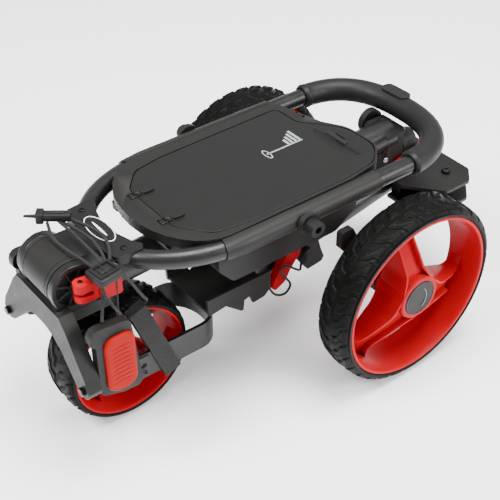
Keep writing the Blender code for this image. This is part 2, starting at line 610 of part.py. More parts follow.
for side_name, side in SIDES:
    bolt_spot = (LEG_PIVOT[0], side * LEG_PIVOT[1], HUB_Z)
    bolt_bore = rod(f"leg_bolt_bore_{side_name}", bolt_spot, 0.0040 + GAP, 0.06,
                    "Z", sides=14)
    cut(hub, bolt_bore)
    bolt_spot = (LEG_PIVOT[0], side * LEG_PIVOT[1], HUB_Z)
    leg_bolt = rod(f"leg_bolt_{side_name}", bolt_spot, 0.0040, 0.0346, "Z", ROOT,
                   "steel", 14)
    bolt_cap = rod(f"leg_bolt_cap_{side_name}", (LEG_PIVOT[0], side * LEG_PIVOT[1], 0.1871), 0.0065, 0.0036, "Z",
                   sides=14)
    join(leg_bolt, bolt_cap)
rod("front_pin", (HUB_X, 0, HUB_Z), 0.0050, 0.078, "Y", ROOT, "steel", 16)

collar = box("spine_collar", (0.098, -0.0215, 0.1853), (0.1400, 0.0290, 0.2585), ROOT, "plastic", 0.005)
collar_disc = rod("collar_disc", (0.1180, 0.0330, 0.2500), 0.0190, 0.0100, "Y", sides=24)
collar_seat = rod("collar_seat", spine_seat_mid, SPINE_RADIUS + GAP, spine_seat_len + 0.0006, sides=24,
                  rotation=spine_seat_turn)
join(collar, collar_disc)
cut(collar, collar_seat)
rod("spine_knob", (0.1540, 0, 0.2200), 0.0180, 0.0270, "X", ROOT, "plastic", 20, top=0.0165)
lever_line = [(0.1150, 0.2025), (0.1225, 0.2085), (0.1355, 0.2125), (0.1480, 0.2100), (0.1567, 0.2110),
              (0.1630, 0.2175), (0.1650, 0.2275)]
lever_half = 0.0024             # half the thickness of the lever's bent strip
lever_edges = [[], []]
for index, (x, z) in enumerate(lever_line):
    ahead = Vector(lever_line[min(index + 1, len(lever_line) - 1)]) - Vector(lever_line[max(index - 1, 0)])
    across = Vector((-ahead.y, ahead.x)).normalized() * lever_half
    lever_edges[0].append(Vector((x, z)) + across)
    lever_edges[1].append(Vector((x, z)) - across)
lever_outline = lever_edges[0] + lever_edges[1][::-1]
hub_lever = plate("hub_lever", [lever_outline], -0.0330, -0.0225, "Y", HUB_CAM, "red", 0.0008)
lever_eye = rod("lever_eye", (LEVER_PIVOT[0], -0.02775, LEVER_PIVOT[2]), 0.0052, 0.0105, "Y", sides=16)
lever_hole = rod("lever_hole", LEVER_PIVOT, 0.0025 + RUNNING, 0.04, "Y", sides=12)
join(hub_lever, lever_eye)
cut(hub_lever, lever_hole)
join(collar, rod("hub_lever_pin", (LEVER_PIVOT[0], -0.0265, LEVER_PIVOT[2]), 0.0025, 0.0150, "Y", sides=12))


# ---- wings --------------------------------------------------------------------------------
wing_outline = rounded([(-0.4330, 0.2375, 0.012), (-0.3780, 0.2315), (-0.3660, 0.1200), (-0.3960, 0.1230),
                        (-0.4262, 0.1330), (-0.4262, 0.2100, 0.003), (-0.4330, 0.2160, 0.003)], 0.010, 3)


def pad_shape(grow):
    return rounded([(-0.4180 - grow, 0.2190 + grow), (-0.3820 + grow, 0.2150 + grow),
                    (-0.3740 + grow, 0.1330 - grow), (-0.4130 - grow, 0.1330 - grow)], 0.0125 + grow, 3)


for side_name, side in SIDES:
    low, high = sorted((side * 0.0860, side * 0.0980))
    wing = plate(f"wing_{side_name}", [wing_outline], low, high, "Y", WINGS[side], "plastic", 0.0012)
    pocket_low, pocket_high = sorted((side * 0.0925, side * 0.1100))
    pad_seat = plate(f"pad_seat_{side_name}", [pad_shape(GAP)], pocket_low, pocket_high, "Y")
    wing_bore = rod(f"wing_bore_{side_name}", (-0.4210, side * TIP_Y, TIP_Z), 0.0026 + RUNNING, 0.0130, "X",
                    sides=12)
    cut(wing, pad_seat, wing_bore)
    pad_low, pad_high = sorted((side * 0.0928, side * 0.1025))
    plate(f"wing_pad_{side_name}", [pad_shape(0)], pad_low, pad_high, "Y", WINGS[side], "orange", 0.0025)


# ---- wheels -------------------------------------------------------------------------------
def wheel(prefix, radius, width, depth, middle, outer_sign, body):
    """A tyre and a dished rim with three windows, on a wheel's axis. depth is from the tread to the rim."""
    half = width / 2
    seat = radius - depth
    wall = seat + 0.3 * depth
    tyre_profile = [(wall, half), (radius - 0.45 * depth, half - 0.004), (radius - 0.0012, half - 0.014),
                    (radius, 0.0), (radius - 0.0012, 0.014 - half), (radius - 0.45 * depth, 0.004 - half),
                    (wall, -half), (seat + GAP, -half), (seat + GAP, half)]
    turned(f"{prefix}_tyre", tyre_profile, middle, "Y", body, "rubber", WHEEL_STEPS)
    hub_radius = 0.033 if radius > 0.1 else 0.026
    face = half - 0.001
    # local +Z of a shape turned to Y points to -Y, so an outer face on the near side is +Z
    out = -outer_sign
    profile = [(seat, out * face), (seat, -out * face), (seat - 0.005, -out * face), (seat - 0.005, out * 0.000),
               (hub_radius, out * (face - 0.024)), (hub_radius, -out * (half - 0.008)),
               (0.0072, -out * (half - 0.008)), (0.0072, out * (face - 0.001)), (hub_radius, out * (face - 0.001)),
               (hub_radius, out * (face - 0.016)), (seat - 0.005, out * 0.008), (seat - 0.005, out * face)]
    if out < 0:
        profile = profile[::-1]
    rim = turned(f"{prefix}_rim", profile, middle, "Y", body, "red", WHEEL_STEPS)
    inner, outer = hub_radius + 0.009, seat - 0.0062
    for index in range(3):
        turn = 160 - 120 * index
        outline = (arc((0, 0), outer, outer, turn - 50, turn + 50, 10)
                   + arc((0, 0), inner, inner, turn + 33, turn - 33, 4))
        shifted = [Vector((p.x + middle[0], p.y + middle[2])) for p in outline]
        window = plate(f"{prefix}_window_{index}", [shifted], middle[1] - half, middle[1] + half, "Y")
        cut(rim, window)


for side_name, side in SIDES:
    middle = (0, side * WHEEL_Y, REAR_RADIUS)
    wheel(f"rear_{side_name}", REAR_RADIUS, REAR_WIDTH, REAR_TYRE_DEPTH, middle, side, REAR_WHEELS[side])
    rod(f"hub_cap_{side_name}", (0, side * (REAR_OUTER_Y - 0.0008), REAR_RADIUS), 0.026, 0.0018, "Y",
        REAR_WHEELS[side], "plastic", 24)
wheel("front", FRONT_RADIUS, FRONT_WIDTH, FRONT_TYRE_DEPTH, (FRONT_X, 0, FRONT_RADIUS), -1, FRONT_WHEEL)

# ---- legs, carriers and axles -------------------------------------------------------------
for side_name, side in SIDES:
    start = Vector((LEG_PIVOT[0], side * LEG_PIVOT[1], 0))
    end = Vector((CARRIER_PIVOT[0], side * CARRIER_PIVOT[1], 0))
    run = (end - start).normalized()
    across = Vector((-run.y, run.x, 0)) * 0.0105
    bar = [start + across, end + across, end - across, start - across]
    leg = plate(f"rear_leg_{side_name}", [[Vector((p.x, p.y)) for p in bar]], 0.1570, 0.1783, "Z", LEGS[side],
                "paint")
    for label, spot in (("root", start), ("end", end)):
        eye = rod(f"leg_{label}_{side_name}", (spot.x, spot.y, 0.16765), 0.0125, 0.0213, "Z", sides=20)
        join(leg, eye)
    for label, spot in (("root", start), ("end", end)):
        eye_bore = rod(f"leg_{label}_bore_{side_name}", (spot.x, spot.y, 0.1677), 0.0040 + RUNNING, 0.05, "Z",
                       sides=14)
        cut(leg, eye_bore)
    low, high = sorted((side * 0.1130, side * 0.1430))
    carrier = box(f"wheel_carrier_{side_name}", (-0.0140, low, 0.1200), (0.0140, high, 0.1562), CARRIERS[side],
                  "paint")
    web = box(f"carrier_web_{side_name}", (-0.0240, low, 0.1200), (-0.0136, high, 0.1850))
    top = box(f"carrier_top_{side_name}", (-0.0240, low, 0.1790), (0.0140, high, 0.1850))
    join(carrier, web, top)
    guard_outline = rounded([(-0.020, 0.176), (-0.020, 0.150), (-0.062, 0.188), (-0.092, 0.224), (-0.092, 0.248),
                             (-0.072, 0.248), (-0.052, 0.206)], 0.004, 2)
    guard_low, guard_high = sorted((side * 0.1330, side * 0.1425))
    guard_body = plate(f"guard_body_{side_name}", [guard_outline], guard_low, guard_high, "Y")
    join(carrier, guard_body)
    axle_bore = rod(f"axle_bore_{side_name}", (0, side * 0.128, REAR_RADIUS), 0.0070 + GAP, 0.04, "Y", sides=20)
    pin = rod(f"carrier_pin_{side_name}", (end.x, end.y, 0.1680), 0.0040, 0.0260, "Z", sides=14)
    join(carrier, pin)
    cut(carrier, axle_bore)
    axle_middle = (0, side * 0.1575, REAR_RADIUS)
    rod(f"rear_axle_{side_name}", axle_middle, 0.0070, 0.0850, "Y", CARRIERS[side], "steel", 20)

# ---- front leg, fork and lower bag rest ---------------------------------------------------
front_start = (0.150, 0.0, 0.1632)
front_end = (-0.203, 0.0, 0.0960)
leg_mid, leg_len, leg_turn = between(front_start, front_end)
LEG_RADIUS = 0.0175
front_spine = rod("front_spine", leg_mid, LEG_RADIUS, leg_len, parent=FRONT, look="paint", sides=24,
                  rotation=leg_turn)
knuckle_outline = (arc((HUB_X, HUB_Z), 0.0108, 0.0108, -90, 90, 8)
                   + [Vector((0.135, 0.1712)), Vector((0.135, 0.1498))])
knuckle = plate("front_knuckle", [knuckle_outline], -0.0200, 0.0200, "Y")
spine_trim = box("spine_trim", (0.140, -0.030, 0.130), (0.200, 0.030, 0.190))
knuckle_bore = rod("knuckle_bore", (HUB_X, 0, HUB_Z), 0.0050 + RUNNING, 0.08, "Y", sides=16)
cut(front_spine, spine_trim)
join(front_spine, knuckle)
cut(front_spine, knuckle_bore)

ARM_Y = 0.0490
BAND = 0.0050
FORK_X = -0.244                 # where the fork's bend starts
fork_out = arc((FORK_X, 0), 0.035 + BAND / 2, ARM_Y + BAND / 2, -90, 90, 14)
fork_in = arc((FORK_X, 0), 0.035 - BAND / 2, ARM_Y - BAND / 2, 90, -90, 14)
fork_outline = ([Vector((-0.360, -ARM_Y - BAND / 2))] + fork_out + [Vector((-0.360, ARM_Y + BAND / 2))]
                + [Vector((-0.360, ARM_Y - BAND / 2))] + fork_in + [Vector((-0.360, -ARM_Y + BAND / 2))])
fork = plate("front_fork", [fork_outline], 0.0745, 0.1145, "Z", FRONT, "paint")
fork_bore = rod("fork_bore", (FRONT_X, 0, FRONT_RADIUS), 0.0060 + GAP, 0.13, "Y", sides=18)
notch_mid, notch_len, notch_turn = between(front_start, (-0.2060, 0.0, 0.09543))
spine_notch = rod("spine_notch", notch_mid, LEG_RADIUS + GAP, notch_len, sides=24, rotation=notch_turn)
cut(fork, fork_bore, spine_notch)
rod("front_axle", (FRONT_X, 0, FRONT_RADIUS), 0.0060, 0.1120, "Y", FRONT, "steel", 18)

rest_wall = [Vector(p) for p in ((-0.2350, 0.1480), (-0.2330, 0.1210), (-0.2055, 0.1246), (-0.1800, 0.1030),
                                 (-0.1760, 0.1030), (-0.1745, 0.1190), (-0.1650, 0.1216), (-0.1600, 0.1070),
                                 (-0.1560, 0.1070), (-0.1400, 0.1085), (-0.1300, 0.1180), (-0.1300, 0.1480))]
bag_rest = plate("lower_bag_rest", [rest_wall], -0.0500, -0.0455, "Y", FRONT, "plastic")
rest_far = plate("rest_far", [rest_wall], 0.0455, 0.0500, "Y")
rest_bridge = box("rest_bridge", (-0.2320, -0.0470, 0.1215), (-0.1320, 0.0470, 0.1260))
rest_post = box("rest_post", (-0.1950, -0.0120, 0.1080), (-0.1450, 0.0120, 0.1225))
rest_spine = rod("rest_spine", leg_mid, LEG_RADIUS + GAP, leg_len, sides=24, rotation=leg_turn)
join(bag_rest, rest_far, rest_bridge, rest_post)
cut(bag_rest, rest_spine)

latch = plate("latch_lever", [rounded([(-0.0640, 0.1560), (-0.0820, 0.1560), (-0.1000, 0.1320), (-0.1170, 0.1000),
                                       (-0.1090, 0.0925), (-0.0920, 0.1010), (-0.0830, 0.1180), (-0.0660, 0.1400)],
                                      0.004, 3)], -0.0360, -0.0240, "Y", LATCH, "red", 0.0015)
latch_hole = rod("latch_hole", LATCH_PIVOT, 0.0025 + RUNNING, 0.03, "Y", sides=12)
cut(latch, latch_hole)
bracket = plate("latch_bracket", [rounded([(-0.0660, 0.1250), (-0.0475, 0.0972), (-0.0215, 0.1005), (-0.0175, 0.1080),
                                           (-0.0240, 0.1240), (-0.0300, 0.1450), (-0.0560, 0.1480)], 0.003, 2)],
                -0.0320, -0.0180, "Y", FRONT, "plastic", 0.001)
bracket_slot = box("bracket_slot", (-0.1000, -0.0380, 0.1000), (-0.0500, -0.0236, 0.1700))
bracket_spine = rod("bracket_spine", leg_mid, LEG_RADIUS + GAP, leg_len, sides=24, rotation=leg_turn)
pin_arm = box("pin_arm", (-0.0800, -0.0232, 0.1420), (-0.0400, -0.0182, 0.1540))
cut(bracket, bracket_slot)
join(bracket, pin_arm)
cut(bracket, bracket_spine)
join(bracket, rod("latch_pin", (LATCH_PIVOT[0], -0.0290, LATCH_PIVOT[2]), 0.0025, 0.0180, "Y", sides=12))

# hook-and-loop strap round the near fork arm, leaning back towards the wing
STRAP_FOOT = Vector((-0.2955, -ARM_Y, 0.0650))
STRAP_HEAD = Vector((-0.3434, -ARM_Y, 0.1957))
strap_run = STRAP_HEAD - STRAP_FOOT
strap_half = strap_run.length / 2
strap_outline = rounded([(-0.0070, -strap_half), (0.0065, -strap_half), (0.0065, strap_half),
                         (-0.0070, strap_half)], 0.003, 3)
strap_hole = rounded([(-0.0048, 0.0022 - strap_half), (0.0043, 0.0022 - strap_half), (0.0043, strap_half - 0.0022),
                      (-0.0048, strap_half - 0.0022)], 0.001, 2)
strap = plate("fork_strap", [strap_outline, strap_hole], -0.0125, 0.0125, "X", FRONT, "cord")
lean = Matrix.Rotation(math.atan2(strap_run.x, strap_run.z), 3, "Y")
strap.rotation_euler = (lean @ Euler(PLANE["X"]).to_matrix()).to_euler()
strap.location = (STRAP_FOOT + STRAP_HEAD) / 2 - Vector(FRONT["origin"])

# ---- brake cable and bag elastic ----------------------------------------------------------
cable_stops = [(-0.1272, -0.0430, 0.1120), (-0.1180, -0.0420, 0.0960), (-0.1060, -0.0410, 0.0860),
               (-0.0930, -0.0400, 0.0840), (-0.0870, -0.0410, 0.0960), (-0.0960, -0.0420, 0.1130),
               (-0.1080, -0.0430, 0.1330), (-0.0960, -0.0430, 0.1350),
               (-0.0790, -0.0420, 0.1200), (-0.0690, -0.0400, 0.1130), (-0.0660, -0.0380, 0.1200),
               (-0.0580, -0.0350, 0.1330), (-0.0470, -0.0340, 0.1380)]
sweep("brake_cable", eased(cable_stops, 42), 0.0019, FRONT, "cord", 1)

STRAND = 0.0021
TOGGLE = Vector((-0.3935, 0.0340, 0.3090))
TOGGLE_TURN = -0.6600           # lies across the barrel at this angle to X
toggle_run = Vector((math.cos(TOGGLE_TURN), math.sin(TOGGLE_TURN), 0))
toggle = rod("elastic_toggle", TOGGLE, 0.0055, 0.041, parent=HANDLE, look="plastic", sides=16,
             rotation=(0, math.pi / 2, TOGGLE_TURN))
toggle_head = rod("toggle_head", TOGGLE - toggle_run * 0.0160, 0.0080, 0.0090, sides=16,
                  rotation=(0, math.pi / 2, TOGGLE_TURN))
toggle_tip = rod("toggle_tip", TOGGLE - toggle_run * 0.0280, 0.00225, 0.0170, sides=10,
                 rotation=(0, math.pi / 2, TOGGLE_TURN))
join(toggle, toggle_head, toggle_tip)
BUCKLE = Vector((-0.3900, -0.0697, 0.2875))
BUCKLE_HALF = Vector((0.0175, 0.0160, 0.0065))
BUCKLE_TURN = 0.14
box("strap_buckle", tuple(BUCKLE - BUCKLE_HALF), tuple(BUCKLE + BUCKLE_HALF), ROOT, "plastic", 0.0020,
    rotation=(0, 0, BUCKLE_TURN))
sweep("elastic_front", eased([(-0.3900, 0.0260, 0.3005), (-0.3870, 0.0080, 0.2975), (-0.3850, -0.0200, 0.2945),
                              (-0.3845, -0.0380, 0.2905), (-0.3850, -0.0500, 0.2880)], 12), STRAND, HANDLE, "cord", 2)
sweep("elastic_rear", eased([(-0.4020, 0.0300, 0.3000), (-0.4080, 0.0100, 0.2960), (-0.4060, -0.0200, 0.2950),
                             (-0.4010, -0.0400, 0.2935), (-0.3990, -0.0520, 0.2900)], 12), STRAND, HANDLE, "cord", 2)
sweep("elastic_drop", eased([(-0.3965, -0.0740, 0.2786), (-0.3990, -0.0770, 0.2620), (-0.4060, -0.0840, 0.2450),
                             (-0.4110, -0.0905, 0.2385)], 12), STRAND, ROOT, "cord", 2)
sweep("elastic_loop", eased([(-0.3700, -0.0765, 0.2810), (-0.3580, -0.0700, 0.2590), (-0.3450, -0.0650, 0.2340),
                             (-0.3335, -0.0575, 0.2130), (-0.3262, -0.0500, 0.1992), (-0.3418, -0.0490, 0.1914),
                             (-0.3585, -0.0500, 0.1862), (-0.3690, -0.0590, 0.2070), (-0.3860, -0.0750, 0.2390),
                             (-0.3985, -0.0815, 0.2670), (-0.4005, -0.0790, 0.2786)], 40), STRAND, ROOT, "cord", 2)
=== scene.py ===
"""Looks of the folded golf trolley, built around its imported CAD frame.

Metres, +Z up. Lengths along the trolley are laid out from the rear axle line, as the CAD's are;
at(x, y, z) turns such a place into the frame's own coordinates.
"""

import json
import math

import bmesh
import bpy
import numpy as np
from mathutils import Euler, Matrix, Vector

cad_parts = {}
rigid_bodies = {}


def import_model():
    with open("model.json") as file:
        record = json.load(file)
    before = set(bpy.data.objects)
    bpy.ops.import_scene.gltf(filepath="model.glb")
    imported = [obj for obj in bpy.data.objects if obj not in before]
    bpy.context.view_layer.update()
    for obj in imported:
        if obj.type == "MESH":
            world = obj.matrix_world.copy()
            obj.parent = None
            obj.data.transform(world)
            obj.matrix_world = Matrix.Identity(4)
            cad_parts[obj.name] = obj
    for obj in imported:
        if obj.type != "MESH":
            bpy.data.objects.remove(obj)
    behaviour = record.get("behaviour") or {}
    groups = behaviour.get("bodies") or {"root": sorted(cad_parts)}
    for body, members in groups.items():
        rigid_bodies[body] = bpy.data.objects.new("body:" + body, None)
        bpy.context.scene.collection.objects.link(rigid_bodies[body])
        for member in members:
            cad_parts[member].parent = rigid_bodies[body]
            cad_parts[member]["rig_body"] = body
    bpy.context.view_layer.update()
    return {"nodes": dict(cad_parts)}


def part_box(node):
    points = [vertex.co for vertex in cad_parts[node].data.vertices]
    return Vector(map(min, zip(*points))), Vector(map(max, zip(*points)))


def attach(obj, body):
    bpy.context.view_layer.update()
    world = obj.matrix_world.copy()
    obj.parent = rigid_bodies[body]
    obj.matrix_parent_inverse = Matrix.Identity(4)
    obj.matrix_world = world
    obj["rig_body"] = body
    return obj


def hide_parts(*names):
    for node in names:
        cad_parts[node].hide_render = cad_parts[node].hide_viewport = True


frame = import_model()

AXLE = (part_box("rear_axle_near")[0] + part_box("rear_axle_near")[1]) / 2
SHIFT = Vector((AXLE.x, 0, 0))
SIDES = (("near", -1), ("far", 1))


def at(x, y, z):
    return Vector((x, y, z)) + SHIFT


def link(obj):
    bpy.context.scene.collection.objects.link(obj)
    return obj


# ---- camera, floor and light --------------------------------------------------------------
EYE = at(-0.842, -0.922, 1.068)
LOOK = Vector((0.482, 0.621, -0.618)).normalized()
RIGHT = Vector((0.790, -0.613, 0.0)).normalized()
LENS = 77.88
SENSOR = 36.0
LIT_PLACE = Vector((0, 0, 0.1))
FLOOR_HALF = 12
FLOOR_COLOUR = (0.93, 0.93, 0.935, 1)
SKY_STRENGTH = 1.05


def add_camera():
    data = bpy.data.cameras.new("camera")
    data.lens = LENS
    data.sensor_width = SENSOR
    data.clip_start = 0.01
    camera = link(bpy.data.objects.new("camera", data))
    up = RIGHT.cross(LOOK)
    turn = Matrix((RIGHT, up, -LOOK)).transposed()
    camera.matrix_world = Matrix.Translation(EYE) @ turn.to_4x4()
    bpy.context.scene.camera = camera


def area_light(name, place, size, power):
    """A round soft light at a place, aimed at the trolley."""
    data = bpy.data.lights.new(name, "AREA")
    data.shape = "DISK"
    data.size = size
    data.energy = power
    light = link(bpy.data.objects.new(name, data))
    light.location = place
    light.rotation_euler = (LIT_PLACE - Vector(place)).to_track_quat("-Z", "Y").to_euler()


def add_studio():
    mesh = bpy.data.meshes.new("floor")
    bm = bmesh.new()
    bmesh.ops.create_grid(bm, x_segments=1, y_segments=1, size=FLOOR_HALF)
    bm.to_mesh(mesh)
    bm.free()
    floor = link(bpy.data.objects.new("floor", mesh))
    material = bpy.data.materials.new("studio_floor")
    material.use_nodes = True
    shader = material.node_tree.nodes["Principled BSDF"]
    shader.inputs["Base Color"].default_value = FLOOR_COLOUR
    shader.inputs["Roughness"].default_value = 0.7
    shader.inputs["Specular IOR Level"].default_value = 0.2
    mesh.materials.append(material)
    world = bpy.data.worlds.new("studio")
    world.use_nodes = True
    world.node_tree.nodes["Background"].inputs["Color"].default_value = (1, 1, 1, 1)
    world.node_tree.nodes["Background"].inputs["Strength"].default_value = SKY_STRENGTH
    bpy.context.scene.world = world
    area_light("key", (-1.7, 0.3, 2.3), 1.1, 110)
    area_light("fill", (1.3, -2.3, 1.5), 1.5, 95)
    area_light("top", (0.3, -0.4, 2.9), 1.8, 200)


add_camera()
add_studio()


# ---- materials ----------------------------------------------------------------------------
class Nodes:
    """A material's node tree, with short calls for the nodes that these looks use."""

    def __init__(self, name, colour, roughness, metallic=0.0, specular=0.5):
        self.material = bpy.data.materials.new(name)
        self.material.use_nodes = True
        self.tree = self.material.node_tree
        self.shader = self.tree.nodes["Principled BSDF"]
        self.shader.inputs["Base Color"].default_value = (*colour, 1)
        self.shader.inputs["Roughness"].default_value = roughness
        self.shader.inputs["Metallic"].default_value = metallic
        self.shader.inputs["Specular IOR Level"].default_value = specular
        self.place = self.tree.nodes.new("ShaderNodeTexCoord").outputs["Object"]

    def link(self, source, target):
        self.tree.links.new(source, target)

    def noise(self, scale, detail, rough=0.55):
        node = self.tree.nodes.new("ShaderNodeTexNoise")
        node.inputs["Scale"].default_value = scale
        node.inputs["Detail"].default_value = detail
        node.inputs["Roughness"].default_value = rough
        self.link(self.place, node.inputs["Vector"])
        return node.outputs["Fac"]

    def cells(self, scale):
        node = self.tree.nodes.new("ShaderNodeTexVoronoi")
        node.inputs["Scale"].default_value = scale
        self.link(self.place, node.inputs["Vector"])
        return node.outputs["Distance"]

    def stripes(self, scale, direction, distortion=0.0, place=None):
        node = self.tree.nodes.new("ShaderNodeTexWave")
        node.bands_direction = direction
        node.inputs["Scale"].default_value = scale
        node.inputs["Distortion"].default_value = distortion
        self.link(self.place if place is None else place, node.inputs["Vector"])
        return node.outputs["Fac"]

    def turned_place(self, rotation):
        node = self.tree.nodes.new("ShaderNodeMapping")
        node.inputs["Rotation"].default_value = rotation
        self.link(self.place, node.inputs["Vector"])
        return node.outputs["Vector"]

    def ramp(self, source, low, high, first, last):
        """Maps source from low..high to first..last, for roughness and masks."""
        node = self.tree.nodes.new("ShaderNodeMapRange")
        for socket, value in zip(("From Min", "From Max", "To Min", "To Max"), (low, high, first, last)):
            node.inputs[socket].default_value = value
        self.link(source, node.inputs["Value"])
        return node.outputs["Result"]

    def mix(self, amount, first, second):
        """Blends two colours, either of which may be another node's output."""
        node = self.tree.nodes.new("ShaderNodeMix")
        node.data_type = "RGBA"
        self.link(amount, node.inputs["Factor"])
        for name, value in (("A", first), ("B", second)):
            socket = next(s for s in node.inputs if s.name == name and s.type == "RGBA")
            if isinstance(value, tuple):
                socket.default_value = (*value, 1)
            else:
                self.link(value, socket)
        return next(s for s in node.outputs if s.type == "RGBA")

    def maths(self, operation, first, second):
        node = self.tree.nodes.new("ShaderNodeMath")
        node.operation = operation
        for socket, value in zip(node.inputs, (first, second)):
            if isinstance(value, (int, float)):
                socket.default_value = value
            else:
                self.link(value, socket)
        return node.outputs["Value"]

    def edges(self, low, high):
        """1 on convex edges, where paint and moulding rub."""
        node = self.tree.nodes.new("ShaderNodeNewGeometry")
        return self.ramp(node.outputs["Pointiness"], low, high, 0.0, 1.0)

    def bump(self, height, strength, distance):
        node = self.tree.nodes.new("ShaderNodeBump")
        node.inputs["Strength"].default_value = strength
        node.inputs["Distance"].default_value = distance
        self.link(height, node.inputs["Height"])
        self.link(node.outputs["Normal"], self.shader.inputs["Normal"])

    def colour(self, source):
        self.link(source, self.shader.inputs["Base Color"])

    def roughness(self, source):
        self.link(source, self.shader.inputs["Roughness"])


def look_paint():
    n = Nodes("satin_black_paint", (0.0040, 0.0038, 0.0038), 0.36, specular=0.30)
    worn = n.maths("MULTIPLY", n.edges(0.53, 0.66), 0.3)
    n.colour(n.mix(worn, n.mix(n.noise(14, 4), (0.0030, 0.0028, 0.0028), (0.0055, 0.0051, 0.0050)),
                   (0.040, 0.038, 0.037)))
    n.roughness(n.ramp(n.noise(60, 3), 0.3, 0.75, 0.30, 0.42))
    n.bump(n.noise(1400, 2), 0.14, 0.0003)
    return n.material


def look_plastic():
    base = (0.0040, 0.0038, 0.0037)
    n = Nodes("grained_plastic", base, 0.52, specular=0.17)
    worn = n.maths("MULTIPLY", n.edges(0.52, 0.64), 0.35)
    n.colour(n.mix(worn, n.mix(n.noise(9, 5), base, (0.0052, 0.0049, 0.0047)), (0.040, 0.039, 0.037)))
    n.roughness(n.ramp(n.noise(35, 4), 0.3, 0.75, 0.40, 0.52))
    n.bump(n.maths("ADD", n.cells(1300), n.maths("MULTIPLY", n.noise(700, 3), 0.6)), 0.20, 0.00022)
    return n.material


def look_red(name="red_plastic", dark=(0.27, 0.0004, 0.0040), light=(0.33, 0.0008, 0.0055)):
    n = Nodes(name, dark, 0.38, specular=0.07)
    n.colour(n.mix(n.noise(11, 4), dark, light))
    n.roughness(n.ramp(n.noise(45, 3), 0.3, 0.7, 0.30, 0.44))
    n.bump(n.noise(520, 3), 0.10, 0.0003)
    return n.material


def look_tyre():
    n = Nodes("tyre_foam", (0.0024, 0.0023, 0.0022), 0.42, specular=0.05)
    worn = n.maths("MULTIPLY", n.edges(0.51, 0.60), 0.4)
    n.colour(n.mix(worn, n.mix(n.noise(22, 5, 0.65), (0.0016, 0.0015, 0.0014), (0.0034, 0.0032, 0.0030)),
                   (0.014, 0.0135, 0.013)))
    n.roughness(n.ramp(n.noise(40, 4), 0.3, 0.75, 0.36, 0.50))
    n.bump(n.maths("ADD", n.noise(1100, 4), n.cells(600)), 0.06, 0.00025)
    return n.material


def look_grip():
    n = Nodes("grip_foam", (0.0045, 0.0044, 0.0043), 0.50, specular=0.18)
    n.colour(n.mix(n.noise(16, 4), (0.0045, 0.0044, 0.0043), (0.0075, 0.0073, 0.0071)))
    n.roughness(n.ramp(n.noise(60, 4), 0.3, 0.75, 0.42, 0.56))
    n.bump(n.noise(1700, 3), 0.25, 0.0003)
    return n.material


def look_steel(name="steel_hardware", base=(0.42, 0.42, 0.43), rough=0.32):
    n = Nodes(name, base, rough, 1.0)
    n.colour(n.mix(n.noise(80, 4), tuple(0.75 * c for c in base), base))
    n.roughness(n.ramp(n.noise(300, 3), 0.3, 0.7, rough - 0.08, rough + 0.14))
    n.bump(n.noise(2200, 2), 0.12, 0.0002)
    return n.material


def look_cord():
    n = Nodes("elastic_cord", (0.0080, 0.0078, 0.0077), 0.7, specular=0.25)
    first = n.stripes(700, "DIAGONAL", place=n.turned_place((0.4, 0.7, 0.2)))
    second = n.stripes(700, "DIAGONAL", place=n.turned_place((-0.9, 0.3, 1.9)))
    weave = n.maths("MAXIMUM", first, second)
    n.colour(n.mix(weave, (0.0020, 0.0020, 0.0020), (0.0060, 0.0058, 0.0056)))
    n.roughness(n.ramp(n.noise(400, 3), 0.3, 0.7, 0.60, 0.80))
    n.bump(weave, 0.35, 0.0003)
    n.shader.inputs["Sheen Weight"].default_value = 0.05
    return n.material


def look_webbing():
    n = Nodes("webbing", (0.0090, 0.0088, 0.0086), 0.9, specular=0.2)
    fuzz = n.noise(1500, 4, 0.7)
    rows = n.stripes(420, "Z", 1.0)
    n.colour(n.mix(n.maths("MULTIPLY", fuzz, rows), (0.0022, 0.0021, 0.0021), (0.0080, 0.0078, 0.0076)))
    n.roughness(n.ramp(n.noise(50, 3), 0.3, 0.7, 0.84, 0.96))
    n.bump(n.maths("ADD", fuzz, rows), 0.5, 0.0005)
    n.shader.inputs["Sheen Weight"].default_value = 0.08
    n.shader.inputs["Sheen Roughness"].default_value = 0.6
    return n.material


def look_print(name, colour):
    n = Nodes(name, colour, 0.5, specular=0.3)
    n.colour(n.mix(n.noise(500, 4, 0.7), tuple(0.82 * c for c in colour), colour))
    n.roughness(n.ramp(n.noise(120, 3), 0.3, 0.7, 0.42, 0.60))
    return n.material


LOOKS = {
    "paint": (look_paint(), "satin_black_paint"),
    "plastic": (look_plastic(), "grained_plastic"),
    "red": (look_red(), "red_plastic"),
    "orange": (look_red("orange_pad", (0.22, 0.0012, 0.0004), (0.26, 0.0018, 0.0006)), "orange_pad"),
    "tyre": (look_tyre(), "tyre_foam"),
    "grip": (look_grip(), "grip_foam"),
    "steel": (look_steel(), "steel_hardware"),
    "bolt": (look_steel("black_oxide", (0.024, 0.0235, 0.0235), 0.34), "steel_hardware"),
    "cord": (look_cord(), "elastic_cord"),
    "webbing": (look_webbing(), "webbing"),
    "grey_print": (look_print("grey_print", (0.24, 0.27, 0.28)), "grained_plastic"),
    "white_print": (look_print("white_print", (0.72, 0.72, 0.72)), "grained_plastic"),
}


# ---- shape helpers ------------------------------------------------------------------------
PLATE_TURN = {"Y": (math.pi / 2, 0, 0), "Z": (0, 0, 0)}
LATHE_TURN = {"X": (0, math.pi / 2, 0), "Y": (math.pi / 2, 0, 0), "Z": (0, 0, 0)}
WELD_DISTANCE = 0.00002
ON_AXIS = 1e-6
CORNER_STEPS = 8
FACET_DEGREES = 3.0
SKIN_EDGE = 0.0006


def smooth(obj, degrees=32):
    obj.data.shade_smooth()
    obj.data.set_sharp_from_angle(angle=math.radians(degrees))
    return obj


